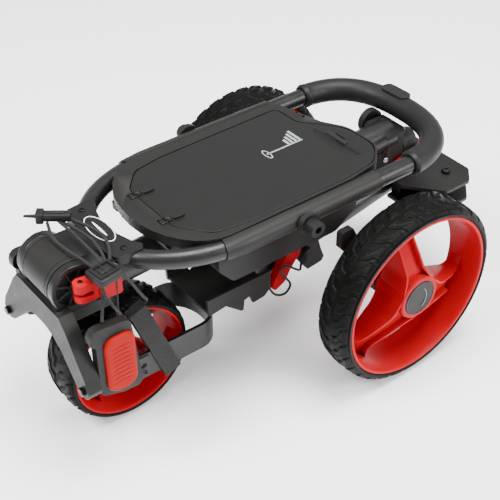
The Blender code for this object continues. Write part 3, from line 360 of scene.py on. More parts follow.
def faired(obj):
    """Shades large faces flat and leaves the roundness to the edges between them."""
    modifier = obj.modifiers.new("fair", "WEIGHTED_NORMAL")
    modifier.keep_sharp = True
    modifier.weight = 100
    return applied(obj)


def applied(obj):
    """The object with its modifiers made real, so that what shows is the mesh itself."""
    bpy.context.view_layer.update()
    graph = bpy.context.evaluated_depsgraph_get()
    mesh = bpy.data.meshes.new_from_object(obj.evaluated_get(graph))
    if obj.type == "MESH":
        obj.modifiers.clear()
        obj.data = mesh
        return obj
    made = link(bpy.data.objects.new(obj.name + "_made", mesh))
    made.matrix_world = obj.matrix_world
    name = obj.name
    bpy.data.objects.remove(obj, do_unlink=True)
    made.name = name
    return made


def piece(obj, look, body, *nodes):
    """Gives a finished shape its material and its body, and hides the CAD nodes that it stands for."""
    material, slot = LOOKS[look]
    obj.data.materials.clear()
    obj.data.materials.append(material)
    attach(obj, body)
    if nodes:
        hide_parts(*nodes)
    return obj


def weld(obj):
    bm = bmesh.new()
    bm.from_mesh(obj.data)
    bmesh.ops.remove_doubles(bm, verts=bm.verts, dist=WELD_DISTANCE)
    bmesh.ops.recalc_face_normals(bm, faces=bm.faces)
    bm.to_mesh(obj.data)
    bm.free()
    return obj


def rounded_edges(obj, width, segments=3, degrees=35):
    """Rounds the edges sharper than the angle, and keeps the flats flat."""
    modifier = obj.modifiers.new("edge", "BEVEL")
    modifier.width = width
    modifier.segments = segments
    modifier.limit_method = "ANGLE"
    modifier.angle_limit = math.radians(degrees)
    return applied(obj)


def from_bmesh(name, bm):
    bmesh.ops.recalc_face_normals(bm, faces=bm.faces)
    mesh = bpy.data.meshes.new(name)
    bm.to_mesh(mesh)
    bm.free()
    return link(bpy.data.objects.new(name, mesh))


def block(name, low, high, edge=0.0, segments=3, turn=(0, 0, 0)):
    """A box with rounded edges between two corners, turned about its middle."""
    bm = bmesh.new()
    bmesh.ops.create_cube(bm, size=1)
    bmesh.ops.scale(bm, vec=Vector(high) - Vector(low), verts=bm.verts)
    obj = from_bmesh(name, bm)
    obj.location = (Vector(low) + Vector(high)) / 2
    obj.rotation_euler = Euler(turn)
    return smooth(rounded_edges(obj, edge, segments)) if edge else obj


def lathe(name, profile, middle, axis, steps, closed=True):
    """A run of (radius, height) points turned about an axis, as one surface."""
    bm = bmesh.new()
    rings = []
    for radius, height in profile:
        if radius < ON_AXIS:
            rings.append([bm.verts.new((0, 0, height))])
            continue
        angles = (2 * math.pi * k / steps for k in range(steps))
        rings.append([bm.verts.new((radius * math.cos(a), radius * math.sin(a), height)) for a in angles])
    count = len(rings)
    for index in range(count if closed else count - 1):
        first, second = rings[index], rings[(index + 1) % count]
        if len(first) == 1 and len(second) == 1:
            continue
        for k in range(steps):
            after = (k + 1) % steps
            corners = [first[k % len(first)], first[after % len(first)], second[after % len(second)],
                       second[k % len(second)]]
            unique = list(dict.fromkeys(corners))
            if len(unique) > 2:
                bm.faces.new(unique)
    obj = from_bmesh(name, bm)
    obj.location = middle
    obj.rotation_euler = Euler(LATHE_TURN[axis])
    return smooth(obj, 40)


def softened(profile, radius, steps):
    """An open profile with the corners between its ends rounded."""
    points = [Vector(p) for p in profile]
    out = []
    count = len(points)
    for index, here in enumerate(points):
        if index in (0, count - 1):
            out.append(here)
            continue
        back = points[index - 1] - here
        ahead = points[index + 1] - here
        reach = min(radius, back.length * 0.45, ahead.length * 0.45)
        a, b = here + back.normalized() * reach, here + ahead.normalized() * reach
        for step in range(steps + 1):
            t = step / steps
            out.append((1 - t) ** 2 * a + 2 * t * (1 - t) * here + t ** 2 * b)
    return [(p.x, p.y) for p in out]


def arc(middle, radius_x, radius_y, start, end, steps):
    points = []
    for step in range(steps + 1):
        angle = math.radians(start + (end - start) * step / steps)
        points.append((middle[0] + radius_x * math.cos(angle), middle[1] + radius_y * math.sin(angle)))
    return points


def shifted(outline):
    """An outline in axle coordinates, moved along X into the frame's."""
    return [(u + SHIFT.x, v) for u, v in outline]


def plate(name, outlines, low, high, axis="Z", edge=0.0):
    """Flat outlines filled from low to high along an axis, with rounded edges; inner outlines are holes."""
    curve = bpy.data.curves.new(name, "CURVE")
    curve.dimensions = "2D"
    curve.fill_mode = "BOTH"
    curve.extrude = (high - low) / 2
    for outline in outlines:
        spline = curve.splines.new("POLY")
        spline.points.add(len(outline) - 1)
        for point, (u, v) in zip(spline.points, outline):
            point.co = (u, v, 0, 1)
        spline.use_cyclic_u = True
    obj = link(bpy.data.objects.new(name, curve))
    level = (low + high) / 2
    obj.location = {"Y": (0, level, 0), "Z": (0, 0, level)}[axis]
    obj.rotation_euler = Euler(PLATE_TURN[axis])
    obj = weld(applied(obj))
    if edge:
        flatten(obj)
        obj = rounded_edges(obj, edge)
    return smooth(obj)


def flatten(obj, degrees=1.0):
    """Joins the coplanar triangles of a face again, so that edge rounding runs clean."""
    bm = bmesh.new()
    bm.from_mesh(obj.data)
    bmesh.ops.dissolve_limit(bm, angle_limit=math.radians(degrees), verts=bm.verts, edges=bm.edges)
    bm.to_mesh(obj.data)
    bm.free()
    return obj


def eased(stops, count):
    """A Catmull-Rom curve through the stops, sampled at count points."""
    path = [Vector(stop) for stop in stops]
    path = [2 * path[0] - path[1]] + path + [2 * path[-1] - path[-2]]
    spans = len(path) - 3
    points = []
    for index in range(count):
        where = index * spans / (count - 1)
        span = min(int(where), spans - 1)
        t = where - span
        a, b, c, d = path[span:span + 4]
        points.append(0.5 * (2 * b + (c - a) * t + (2 * a - 5 * b + 4 * c - d) * t ** 2
                             + (3 * b - a - 3 * c + d) * t ** 3))
    return points


def sweep(name, points, radius, resolution, cyclic=False):
    """A round bar along a run of points, with capped ends unless it closes on itself."""
    curve = bpy.data.curves.new(name, "CURVE")
    curve.dimensions = "3D"
    curve.bevel_depth = radius
    curve.bevel_resolution = resolution
    curve.use_fill_caps = not cyclic
    spline = curve.splines.new("POLY")
    spline.points.add(len(points) - 1)
    for point, place in zip(spline.points, points):
        point.co = (*place, 1)
    spline.use_cyclic_u = cyclic
    return smooth(weld(applied(link(bpy.data.objects.new(name, curve)))))


def cut(obj, *others):
    """Takes the other shapes out of the object."""
    for other in others:
        modifier = obj.modifiers.new(other.name, "BOOLEAN")
        modifier.operation = "DIFFERENCE"
        modifier.solver = "EXACT"
        modifier.object = other
    applied(obj)
    for other in others:
        bpy.data.objects.remove(other, do_unlink=True)
    return obj


def merged(name, objects):
    """Several shapes as one object, each keeping its own surface."""
    bm = bmesh.new()
    for obj in objects:
        bpy.context.view_layer.update()
        part = bpy.data.meshes.new("part")
        source = bmesh.new()
        source.from_mesh(obj.data)
        source.transform(obj.matrix_world)
        source.to_mesh(part)
        source.free()
        bm.from_mesh(part)
        bpy.data.objects.remove(obj, do_unlink=True)
    mesh = bpy.data.meshes.new(name)
    bm.to_mesh(mesh)
    bm.free()
    return smooth(link(bpy.data.objects.new(name, mesh)))


def refined(node, look):
    """A CAD node's own shape with its facets joined, its edges rounded and its curves shaded smooth."""
    source = frame["nodes"][node]
    obj = link(bpy.data.objects.new(f"{node}_skin", source.data.copy()))
    weld(obj)
    flatten(obj, FACET_DEGREES)
    obj = rounded_edges(obj, SKIN_EDGE, 2, 40)
    return piece(faired(smooth(obj, 38)), look, source["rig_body"], node)


# ---- tyres --------------------------------------------------------------------------------
LUG_LIFT = 0.0014
LUG_BEVEL = 0.0013
RIDGE_WIDTH = 0.0007
LIFT_ROOM = 0.0022
STEPS_PER_LUG = 34
STEPS_ACROSS = 60


def ridge(distance, place):
    """A thin raised line at a distance inside a lug's edge."""
    return np.exp(-(((distance - place) / RIDGE_WIDTH) ** 2))


def tread(u, angle, radius, half, lugs):
    """Lift of the tread at width share u: boot-shaped lugs with raised outlines, in two mirrored rows."""
    v = (abs(u) - 0.12) / 0.84
    if not 0 < v < 1:
        return np.zeros(len(angle))
    boot = 0.34 * v + 0.17 * math.tanh((v - 0.50) / 0.09)
    phase = (angle * lugs / (2 * math.pi) + boot + (0.5 if u > 0 else 0.0)) % 1.0
    flare = min(1.0, max(0.0, (v - 0.40) / 0.20))
    pitch = 2 * math.pi * radius / lugs
    edge = (0.29 + 0.10 * flare - np.abs(phase - 0.5)) * pitch
    inside = np.minimum(edge, min(v, 1 - v) * 0.84 * half)
    lug = np.clip(inside / LUG_BEVEL, 0, 1)
    lug = lug * lug * (3 - 2 * lug)
    return LUG_LIFT * lug + 0.0009 * ridge(inside, 0.0014) + 0.0007 * ridge(inside, 0.0044)


def tyre(name, node, radius, seat, lugs, body):
    """A crowned foam tyre: a smooth centre band between two rows of lugs that run over round shoulders."""
    low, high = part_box(node)
    middle = (low + high) / 2
    half = (high.y - low.y) / 2
    steps = lugs * STEPS_PER_LUG
    angle = np.arange(steps) * 2 * math.pi / steps
    base = radius - LIFT_ROOM
    rows = []
    for index in range(STEPS_ACROSS + 1):
        u = -1 + 2 * index / STEPS_ACROSS
        shoulder = max(0.0, (abs(u) - 0.72) / 0.28)
        drop = 0.0032 * abs(u) ** 2 + 0.0054 * shoulder ** 2.2
        place = u * (half - 0.0006 - 0.0010 * shoulder ** 3)
        rows.append((place, base - drop + tread(u, angle, radius, half, lugs)))
    for r, inset in ((seat + 0.0040, 0.0002), (seat + 0.0012, 0.0000), (seat + 0.0004, 0.0010)):
        rows.append((half - inset, np.full(steps, r)))
        rows.insert(0, (inset - half, np.full(steps, r)))
    bm = bmesh.new()
    rings = [[bm.verts.new((r * math.cos(a), y, r * math.sin(a))) for r, a in zip(row, angle)]
             for y, row in rows]
    for first, second in zip(rings, rings[1:] + rings[:1]):
        for k in range(steps):
            after = (k + 1) % steps
            bm.faces.new((first[k], first[after], second[after], second[k]))
    obj = from_bmesh(name, bm)
    obj.location = middle
    return piece(smooth(obj, 60), "tyre", body, node)


# ---- rims ---------------------------------------------------------------------------------
SCALE_SEAT = 0.1205
SPOKES = 3
SPOKE_STEPS = 22
WALL = 0.0034
WEB = 0.0030


def rim(name, node, seat, hub, outward, body, wall_share=0.86, hub_share=0.93):
    """A deep dished rim: a barrel, a hub, and three spokes made of walls round large windows.

    The shares say how deep the spokes' walls and the hub reach, out of the rim's depth.
    """
    low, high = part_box(node)
    half = (high.y - low.y) / 2
    depth = 2 * half
    scale = seat / SCALE_SEAT

    def level(value):
        """Depth below the outer face as a Y place about the wheel's middle."""
        return outward * (half - value)

    def turned(part, profile, steps):
        return lathe(part, [(r, -level(d)) for r, d in profile], (0, 0, 0), "Y", steps)

    lip = 0.0052 * scale
    inner = seat - lip
    barrel = [(seat, 0.0012), (seat - 0.0008, 0.0), (inner + 0.0010, 0.0), (inner, 0.0012),
              (inner - 0.0005, 0.0030), (inner - 0.0014, 0.0090), (inner - 0.0032, depth * 0.55),
              (inner - 0.0045, depth * 0.93), (inner - 0.0035, depth - 0.0008), (seat - 0.0010, depth),
              (seat, depth - 0.0012)]
    hub_ring = [(0.0080, 0.0016), (hub - 0.0072, 0.0016), (hub - 0.0066, 0.0004), (hub - 0.0050, 0.0),
                (hub - 0.0022, 0.0002), (hub - 0.0004, 0.0016), (hub, 0.0040),
                (hub + 0.0010, depth * (hub_share - 0.03)), (hub - 0.0010, depth * hub_share),
                (0.0080, depth * hub_share)]
    parts = [turned("barrel", barrel, 120), turned("hub", hub_ring, 72)]
    outer = inner - 0.0016

    def share(r):
        """How far out a radius lies, from 0 at the hub to 1 at the barrel."""
        return min(1, max(0, (r - hub) / (outer - hub)))

    def edge_depth(r):
        """Depth of a spoke wall's outer edge: level with the hub, then falling to the barrel."""
        return 0.0018 + 0.030 * scale * share(r) ** 1.25

    def spoke_half(r):
        """Half the spoke's width, flared where it meets the hub and the barrel."""
        t = share(r)
        body_half = (0.0165 - 0.0030 * t) * (0.75 + 0.25 * scale)
        flare = 0.024 * scale * max(0, (t - 0.62) / 0.38) ** 2.6
        root = 0.010 * scale * max(0, (0.22 - t) / 0.22) ** 2
        return body_half + flare + root

    def radii(overlap):
        """Radii along a spoke, which starts inside the hub and ends inside the barrel."""
        start, run = hub - 0.001, outer + overlap - hub
        return [start + run * index / SPOKE_STEPS for index in range(SPOKE_STEPS + 1)]

    def spoke_wall(along, side_way):
        """One side wall of a spoke, as a bar with a square section."""
        bm = bmesh.new()
        sections = []
        for r in radii(0.0016):
            offset = spoke_half(r)
            reach = math.sqrt(max(r * r - offset * offset, 0)) if r > offset else 0
            top, bottom = edge_depth(r), depth * wall_share
            inside = offset - WALL
            section = []
            for across, down in ((offset, top), (inside, top), (inside, bottom), (offset, bottom)):
                place = along * reach + side_way * across
                section.append(bm.verts.new((place.x, level(down), place.z)))
            sections.append(section)
        for first, second in zip(sections, sections[1:]):
            for k in range(4):
                bm.faces.new((first[k], first[(k + 1) % 4], second[(k + 1) % 4], second[k]))
        bm.faces.new(sections[0])
        bm.faces.new(list(reversed(sections[-1])))
        return smooth(rounded_edges(from_bmesh("wall", bm), 0.0009, 2), 40)

    def spoke_web(along, side_way):
        """The plate between a spoke's walls, a little below their outer edges."""
        bm = bmesh.new()
        front, back = [], []
        for r in radii(0.001):
            offset = spoke_half(r) - WALL * 0.4
            down = edge_depth(r) + 0.0072 * scale + 0.0016
            for layer, below in ((front, 0), (back, WEB)):
                line = []
                for part in (-1, -0.5, 0, 0.5, 1):
                    reach = math.sqrt(max(r * r - (offset * part) ** 2, 0))
                    place = along * reach + side_way * (offset * part)
                    line.append(bm.verts.new((place.x, level(down + below), place.z)))
                layer.append(line)
        for layer in (front, back):
            for first, second in zip(layer, layer[1:]):
                for k in range(4):
                    bm.faces.new((first[k], first[k + 1], second[k + 1], second[k]))
        for index in range(SPOKE_STEPS):
            for k in (0, 4):
                bm.faces.new((front[index][k], front[index + 1][k], back[index + 1][k], back[index][k]))
        for index in (0, SPOKE_STEPS):
            for k in range(4):
                bm.faces.new((front[index][k], front[index][k + 1], back[index][k + 1], back[index][k]))
        return smooth(from_bmesh("web", bm), 40)

    for spoke in range(SPOKES):
        turn = math.radians(100 + 360 / SPOKES * spoke)
        along = Vector((math.cos(turn), 0, math.sin(turn)))
        side_way = Vector((-math.sin(turn), 0, math.cos(turn)))
        parts += [spoke_wall(along, -side_way), spoke_wall(along, side_way), spoke_web(along, side_way)]
    obj = merged(name, parts)
    obj.location = (low + high) / 2
    return piece(obj, "red", body, node)


REAR_RADIUS, REAR_SEAT, REAR_HUB, REAR_LUGS = 0.135, 0.1210, 0.0325, 32
FRONT_RADIUS, FRONT_SEAT, FRONT_HUB, FRONT_LUGS = 0.0925, 0.0820, 0.0240, 22
for side_name, side in SIDES:
    body = f"rear_wheel_{side_name}"
    tyre(f"rear_tyre_{side_name}", f"rear_{side_name}_tyre", REAR_RADIUS, REAR_SEAT, REAR_LUGS, body)
    rim(f"rear_rim_{side_name}", f"rear_{side_name}_rim", REAR_SEAT, REAR_HUB, side, body)
tyre("front_wheel_tyre", "front_tyre", FRONT_RADIUS, FRONT_SEAT, FRONT_LUGS, "front_wheel")
rim("front_wheel_rim", "front_rim", FRONT_SEAT, FRONT_HUB, -1, "front_wheel", 0.42, 0.50)


def hub_cap(name, node, side, body):
    """A domed cap with a thin plain crescent on it."""
    low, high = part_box(node)
    middle = (low + high) / 2
    radius = (high.x - low.x) / 2
    depth = (high.y - low.y) / 2
    shape = softened([(0, -depth), (radius, -depth), (radius, depth - 0.0012), (radius - 0.0012, depth),
                      (radius - 0.0030, depth - 0.0006), (0, depth)], 0.0006, 3)
    cap = lathe(name, [(r, -side * h) for r, h in shape], middle, "Y", 64, False)
    face = middle.y + side * depth
    crescent = [Vector((x, face + side * 0.0002, z))
                for x, z in arc((middle.x, middle.z), 0.40 * radius, 0.62 * radius, -70, 60, 24)]
    piece(sweep(f"{name}_mark", crescent, 0.0004, 2), "grey_print", body)
    return piece(cap, "plastic", body, node)


for side_name, side in SIDES:
    hub_cap(f"cap_{side_name}", f"hub_cap_{side_name}", side, f"rear_wheel_{side_name}")


# ---- handle loop and grip -----------------------------------------------------------------
LOOP_Z = 0.2763
LOOP_HALF = 0.1107
LEFT_X, LEFT_REACH, LEFT_SQUARE = -0.200, 0.158, 2.15
RIGHT_X, RIGHT_REACH, RIGHT_SQUARE = 0.043, 0.104, 2.5
TUBE = 0.012
GRIP_START_X = 0.051
GRIP_BORE = 0.01225
GRIP_AROUND = 40


def bend(middle_x, reach, square, steps, outward):
    """Half a superellipse, from the near side of the loop round to the far side."""
    points = []
    for step in range(steps + 1):
        angle = math.pi * (step / steps - 0.5)
        along = math.cos(angle) ** (2 / square)
        across = math.copysign(abs(math.sin(angle)) ** (2 / square), angle)
        points.append((middle_x + outward * reach * along, LOOP_HALF * across))
    return points


def loop_path(steps):
    right = bend(RIGHT_X, RIGHT_REACH, RIGHT_SQUARE, steps, 1)
    left = bend(LEFT_X, LEFT_REACH, LEFT_SQUARE, steps, -1)
    return [at(x, y, LOOP_Z) for x, y in right + left[::-1]]


piece(sweep("handle_loop", loop_path(96), TUBE, 12, cyclic=True), "paint", "handle", "handle_tube")


def grip_radius(t):
    """Radius of the grip at share t of its length: rolled ends and a slight swell in the middle."""
    end = min(t, 1 - t)
    if end <= 0.004:
        return 0.0150
    rolled = 0.0165 + 0.0009 * math.exp(-((end - 0.012) / 0.009) ** 2)
    return rolled + 0.0006 * math.sin(math.pi * t)


def grip():
    """The foam sleeve round the loop's far bend, as a skin that turns in to the tube at each end."""
    bare = bend(RIGHT_X, RIGHT_REACH, RIGHT_SQUARE, 400, 1)
    path = [at(x, y, LOOP_Z) for x, y in bare if x > GRIP_START_X][::3]
    last = len(path) - 1
    bm = bmesh.new()

    def ring(index, ahead, radius):
        out = ahead.normalized().cross(Vector((0, 0, 1))).normalized()
        angles = (2 * math.pi * k / GRIP_AROUND for k in range(GRIP_AROUND))
        places = (out * radius * math.cos(a) + Vector((0, 0, radius * math.sin(a))) for a in angles)
        return [bm.verts.new(path[index] + place) for place in places]

    rings = [ring(0, path[1] - path[0], GRIP_BORE)]
    for index in range(last + 1):
        ahead = path[min(index + 1, last)] - path[max(index - 1, 0)]
        rings.append(ring(index, ahead, grip_radius(index / last)))
    rings.append(ring(last, path[last] - path[last - 1], GRIP_BORE))
    for one, two in zip(rings, rings[1:]):
        for k in range(GRIP_AROUND):
            after = (k + 1) % GRIP_AROUND
            bm.faces.new((one[k], one[after], two[after], two[k]))
    return piece(smooth(from_bmesh("grip", bm), 50), "grip", "handle", "handle_grip")


grip()


# ---- console lid --------------------------------------------------------------------------
PANEL_TOP = 0.2910
CUT_TOP = 0.300


def rounded(corners, radius):
    """A closed outline with every corner rounded; a corner's third number is its own radius."""
    out = []
    count = len(corners)
    for index, corner in enumerate(corners):
        here = Vector(corner[:2])
        reach = corner[2] if len(corner) > 2 else radius
        back = Vector(corners[index - 1][:2]) - here
        ahead = Vector(corners[(index + 1) % count][:2]) - here
        half_angle = back.angle(ahead) / 2
        cut_back = min(reach / math.tan(half_angle), back.length * 0.48, ahead.length * 0.48)
        a, b = here + back.normalized() * cut_back, here + ahead.normalized() * cut_back
        for step in range(CORNER_STEPS + 1):
            t = step / CORNER_STEPS
            out.append(tuple((1 - t) ** 2 * a + 2 * t * (1 - t) * here + t ** 2 * b))
    return out


def lens(middle, half_length, half_width, steps):
    """A pointed oval that lies a little across X."""
    lean = math.radians(-19)
    points = []
    for k in range(2 * steps):
        angle = math.pi * k / steps
        along = half_length * math.cos(angle)
        across = math.copysign(half_width * abs(math.sin(angle)) ** 1.6, math.sin(angle))
        points.append((middle.x + along * math.cos(lean) - across * math.sin(lean),
                       middle.y + along * math.sin(lean) + across * math.cos(lean)))
    return points


def lid_hook(y):
    """One hook at the lid's hinge: a leaf on the lid, a ball, a knuckle on the pin and a beak over it."""
    half = 0.005
    leaf = lens(at(-0.2700, y, 0), 0.0150, 0.0052, 24)
    pad = faired(plate("hook_pad", [leaf], PANEL_TOP - 0.0008, PANEL_TOP + 0.0028, "Z", 0.0008))
    dome = softened([(0, 0.0056), (0.0036, 0.0050), (0.0056, 0.0014), (0.0056, -0.0030), (0, -0.0030)],
                    0.0014, 4)
    ball = lathe("hook_ball", dome, at(-0.2780, y, PANEL_TOP), "Z", 32, False)
    barrel_line = softened([(0, -half), (0.0044, -half), (0.0044, half), (0, half)], 0.0014, 4)
    knuckle = lathe("knuckle", barrel_line, at(-0.2850, y, PANEL_TOP - 0.0030), "Y", 32, False)
    beak = [(-0.2875, 0.2885), (-0.2850, 0.2922), (-0.2790, 0.2926), (-0.2655, 0.2914), (-0.2655, 0.2890),
            (-0.2790, 0.2888)]
    beak = faired(plate("beak", [shifted(rounded(beak, 0.002))], y - half, y + half, "Y", 0.0006))
    return [pad, ball, knuckle, beak]


def lid():
    """The lid's panel, with its leaf-shaped latch recess, the recess's slot and tab, and two hooks."""
    outline = rounded([(-0.2805, -0.0470, 0.03), (-0.2500, -0.0905, 0.04), (-0.1950, -0.0960, 0.05),
                       (-0.0450, -0.0985, 0.05), (0.0050, -0.0930, 0.04), (0.0330, -0.0640, 0.04),
                       (0.0320, -0.0100, 0.05), (0.0030, 0.0270, 0.03), (-0.0120, 0.0440, 0.02),
                       (-0.0130, 0.0880, 0.012), (-0.2100, 0.0850, 0.05), (-0.2530, 0.0780, 0.03),
                       (-0.2805, 0.0470, 0.03)], 0.02)
    panel = plate("console_panel", [shifted(outline)], PANEL_TOP - 0.0030, PANEL_TOP)
    leaf = shifted(arc((0.0010, -0.0250), 0.0180, 0.0450, 100, 280, 40))
    slot = block("slot", at(0.0092, -0.0300, PANEL_TOP - 0.0024), at(0.0122, -0.0100, CUT_TOP))
    cut(panel, plate("leaf", [leaf], PANEL_TOP - 0.0018, CUT_TOP), slot)
    flatten(panel)
    parts = [faired(smooth(rounded_edges(panel, 0.0009, 3, 30), 40))]
    for side in (-1, 1):
        parts += lid_hook(side * 0.0335)
    parts.append(faired(block("slot_tab", at(0.0010, -0.0390, PANEL_TOP - 0.0010),
                              at(0.0080, -0.0020, PANEL_TOP + 0.0018), 0.0008)))
    return piece(merged("console_lid_panel", parts), "plastic", "lid", "console_lid")


lid()


# ---- folding barrel -----------------------------------------------------------------------
BARREL = at(-0.415, 0, 0.260)


def barrel():
    """The barrel's skin, with a seam near each end."""
    half = 0.0305
    seam, wide = half - 0.0055, 0.0313
    skin = [(0, -half), (wide, -half)]
    for place in (-seam, seam):
        skin += [(wide, place - 0.0006), (wide - 0.0008, place - 0.0003), (wide - 0.0008, place + 0.0003),
                 (wide, place + 0.0006)]
    skin += [(wide, half), (0, half)]
    return lathe("barrel_skin", skin, BARREL, "Y", 96, False)


def end_ribs(side):
    """Spokes inside the barrel end's recess."""
    ribs = []
    reach, half = 0.0165, Vector((0.0085, 0.0013, 0.0008))
    for index in range(8):
        turn = math.radians(22.5 + 45 * index)
        middle = BARREL + Vector((reach * math.cos(turn), side * 0.0400, reach * math.sin(turn)))
        ribs.append(block("rib", middle - half, middle + half, 0.0004, 2, (0, -turn, 0)))
    return piece(merged(f"barrel_end_ribs_{side + 1}", ribs), "plastic", "frame")


piece(barrel(), "plastic", "handle")
for _, side in SIDES:
    end_ribs(side)


# ---- cradle pads --------------------------------------------------------------------------
PAD_COLUMNS, PAD_ROWS, PAD_RIBS = 26, 150, 10
PAD_CROWN = 0.0022
PAD_GROOVE = 0.0010


def ribbed_pad(name, node, side, body):
    """A rounded oblong pad whose face carries shallow cross ribs."""
    low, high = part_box(node)
    half_x, half_z = (high.x - low.x) / 2, (high.z - low.z) / 2
    corner = min(half_x, half_z) * 0.72
    ribbed = half_z * 0.80
    grid = []
    for row in range(PAD_ROWS + 1):
        z = -half_z + 2 * half_z * row / PAD_ROWS
        over = max(0.0, abs(z) - (half_z - corner)) / corner
        width = half_x - corner + corner * math.sqrt(max(0.0, 1 - over ** 2.4))
        line = []
        for column in range(PAD_COLUMNS + 1):
            share = -1 + 2 * column / PAD_COLUMNS
            depth = PAD_CROWN * min(1, (1 - abs(share)) * width / 0.0030) ** 0.5
            band = max(0.0, 1 - (share / 0.72) ** 4) * max(0.0, 1 - (z / ribbed) ** 6)
            wave = math.cos(2 * math.pi * (z / (2 * ribbed) * PAD_RIBS + 0.10 * share ** 2))
            line.append((share * width, depth - PAD_GROOVE * band * max(0.0, wave) ** 3, z))
        grid.append(line)
    face = side * (high.y - low.y) / 2
    bm = bmesh.new()
    front = [[bm.verts.new((x, face - side * (PAD_CROWN - d), z)) for x, d, z in line] for line in grid]
    back = [[bm.verts.new((x, -face * 0.6, z)) for x, _, z in line] for line in grid]
    for layer in (front, back):
        for one, two in zip(layer, layer[1:]):
            for k in range(PAD_COLUMNS):
                bm.faces.new((one[k], one[k + 1], two[k + 1], two[k]))
    for row in range(PAD_ROWS):
        for k in (0, PAD_COLUMNS):
            bm.faces.new((front[row][k], front[row + 1][k], back[row + 1][k], back[row][k]))
    for row in (0, PAD_ROWS):
        for k in range(PAD_COLUMNS):
            bm.faces.new((front[row][k], front[row][k + 1], back[row][k + 1], back[row][k]))
    obj = from_bmesh(name, bm)
    obj.location = (low + high) / 2
    return piece(smooth(weld(obj), 50), "orange", body, node)


for side_name, side in SIDES:
    ribbed_pad(f"pad_{side_name}", f"wing_pad_{side_name}", side, f"wing_{side_name}")


# ---- elastic: toggle, buckle and strands --------------------------------------------------
STRAND_RADIUS = 0.0020


def strand(name, stops, body, *nodes):
    """A length of elastic cord that runs smoothly through its stops."""
    route = eased([at(*stop) for stop in stops], 48)
    return piece(sweep(name, route, STRAND_RADIUS, 5), "cord", body, *nodes)


def oblong(half_x, half_y, radius):
    return rounded([(-half_x, -half_y), (half_x, -half_y), (half_x, half_y), (-half_x, half_y)], radius)


def buckle():
    """The buckle: a soft block with a raised frame, a raised middle and a cord line across it."""
    middle = at(-0.3900, -0.0697, 0.2875)
    lean = 0.14
    body = block("buckle_body", middle - Vector((0.0172, 0.0157, 0.0063)),
                 middle + Vector((0.0172, 0.0157, 0.0045)), 0.0028, 4, (0, 0, lean))
    rims = [oblong(0.0140, 0.0115, 0.002), oblong(0.0110, 0.0085, 0.001)]
    raised = [plate("buckle_frame", rims, 0.0035, 0.0062, "Z", 0.0006),
              block("buckle_rib", (-0.0075, -0.0045, 0.0035), (0.0075, 0.0045, 0.0058), 0.0008)]
    for loose in raised:
        loose.matrix_world = Matrix.Translation(middle) @ Matrix.Rotation(lean, 4, "Z") @ loose.matrix_world
    stops = [(0.0010, -0.0150, 0.0048), (-0.0005, 0, 0.0064), (-0.0015, 0.0150, 0.0048)]
    line = sweep("buckle_line", [middle + Vector(stop) for stop in stops], 0.0007, 3)
    return piece(merged("buckle", [body, *raised, line]), "plastic", "frame", "strap_buckle")


def toggle():
    """The cord toggle: a body with a head, a press key and a short pointed tip."""
    place = Matrix.Translation(at(-0.3935, 0.0340, 0.3090)) @ Matrix.Rotation(-0.6600, 4, "Z")
    parts = [
        block("toggle_body", (-0.0150, -0.0062, -0.0050), (0.0205, 0.0062, 0.0055), 0.0028, 4),
        block("toggle_head", (-0.0215, -0.0078, -0.0070), (-0.0120, 0.0078, 0.0070), 0.0016, 3),
        block("toggle_key", (-0.0040, -0.0030, 0.0040), (0.0130, 0.0030, 0.0072), 0.0012, 3),
    ]
    for loose in parts:
        loose.matrix_world = place @ loose.matrix_world
    tip_line = softened([(0, -0.0150), (0.0016, -0.0150), (0.0026, 0), (0, 0)], 0.0006, 2)
    tip = lathe("toggle_tip", tip_line, (0, 0, 0), "X", 20, False)
    tip.matrix_world = place @ Matrix.Translation((-0.0215, 0, 0)) @ Matrix.Rotation(math.pi / 2, 4, "Y")
    return piece(merged("toggle", [*parts, tip]), "plastic", "handle", "elastic_toggle")


buckle()
toggle()
strand("strand_badge_left",
       [(-0.3880, 0.0250, 0.3030), (-0.3790, 0.0060, 0.2985), (-0.3740, -0.0180, 0.2955),
        (-0.3760, -0.0400, 0.2935), (-0.3800, -0.0560, 0.2905)], "handle")
strand("strand_badge_right",
       [(-0.3800, 0.0220, 0.3060), (-0.3660, 0.0020, 0.3000), (-0.3600, -0.0200, 0.2960),
        (-0.3660, -0.0420, 0.2945), (-0.3750, -0.0570, 0.2905)], "handle")
strand("strand_rear",
       [(-0.4040, 0.0330, 0.3050), (-0.4085, 0.0120, 0.2960), (-0.4060, -0.0200, 0.2950),
        (-0.4010, -0.0400, 0.2935), (-0.3970, -0.0560, 0.2900)], "handle", "elastic_rear")
strand("strand_front",
       [(-0.3920, 0.0290, 0.3050), (-0.3870, 0.0080, 0.2985), (-0.3850, -0.0200, 0.2950),
        (-0.3845, -0.0400, 0.2925), (-0.3870, -0.0570, 0.2895)], "handle", "elastic_front")
strand("strand_inner_drop",
       [(-0.3740, -0.0650, 0.2815), (-0.3742, -0.0655, 0.2650), (-0.3748, -0.0650, 0.2380),
        (-0.3756, -0.0640, 0.2100)], "frame")


# ---- printed flag on the lid --------------------------------------------------------------
INK = 0.00012


def flag():
    """A plain golf pin with its flag and cup, printed in grey on the lid."""
    cup = [shifted(arc((-0.0940, 0.0050), *radii, 0, 350, 35))
           for radii in ((0.0045, 0.0110), (0.0030, 0.0092))]
    pole = [(-0.0945, 0.0040), (-0.0945, 0.0062), (-0.0340, 0.0062), (-0.0340, 0.0040)]
    bars = []
    for index in range(4):
        x, length = -0.0350 - 0.0062 * index, 0.0330 - 0.0045 * index
        bars.append([(x, 0.0070), (x, length), (x - 0.0036, length), (x - 0.0036, 0.0070)])
    shapes = [plate("cup", cup, PANEL_TOP, PANEL_TOP + INK)]
    shapes += [plate("mark", [shifted(mark)], PANEL_TOP, PANEL_TOP + INK) for mark in [pole, *bars]]
    return piece(merged("lid_flag", shapes), "grey_print", "lid")


flag()


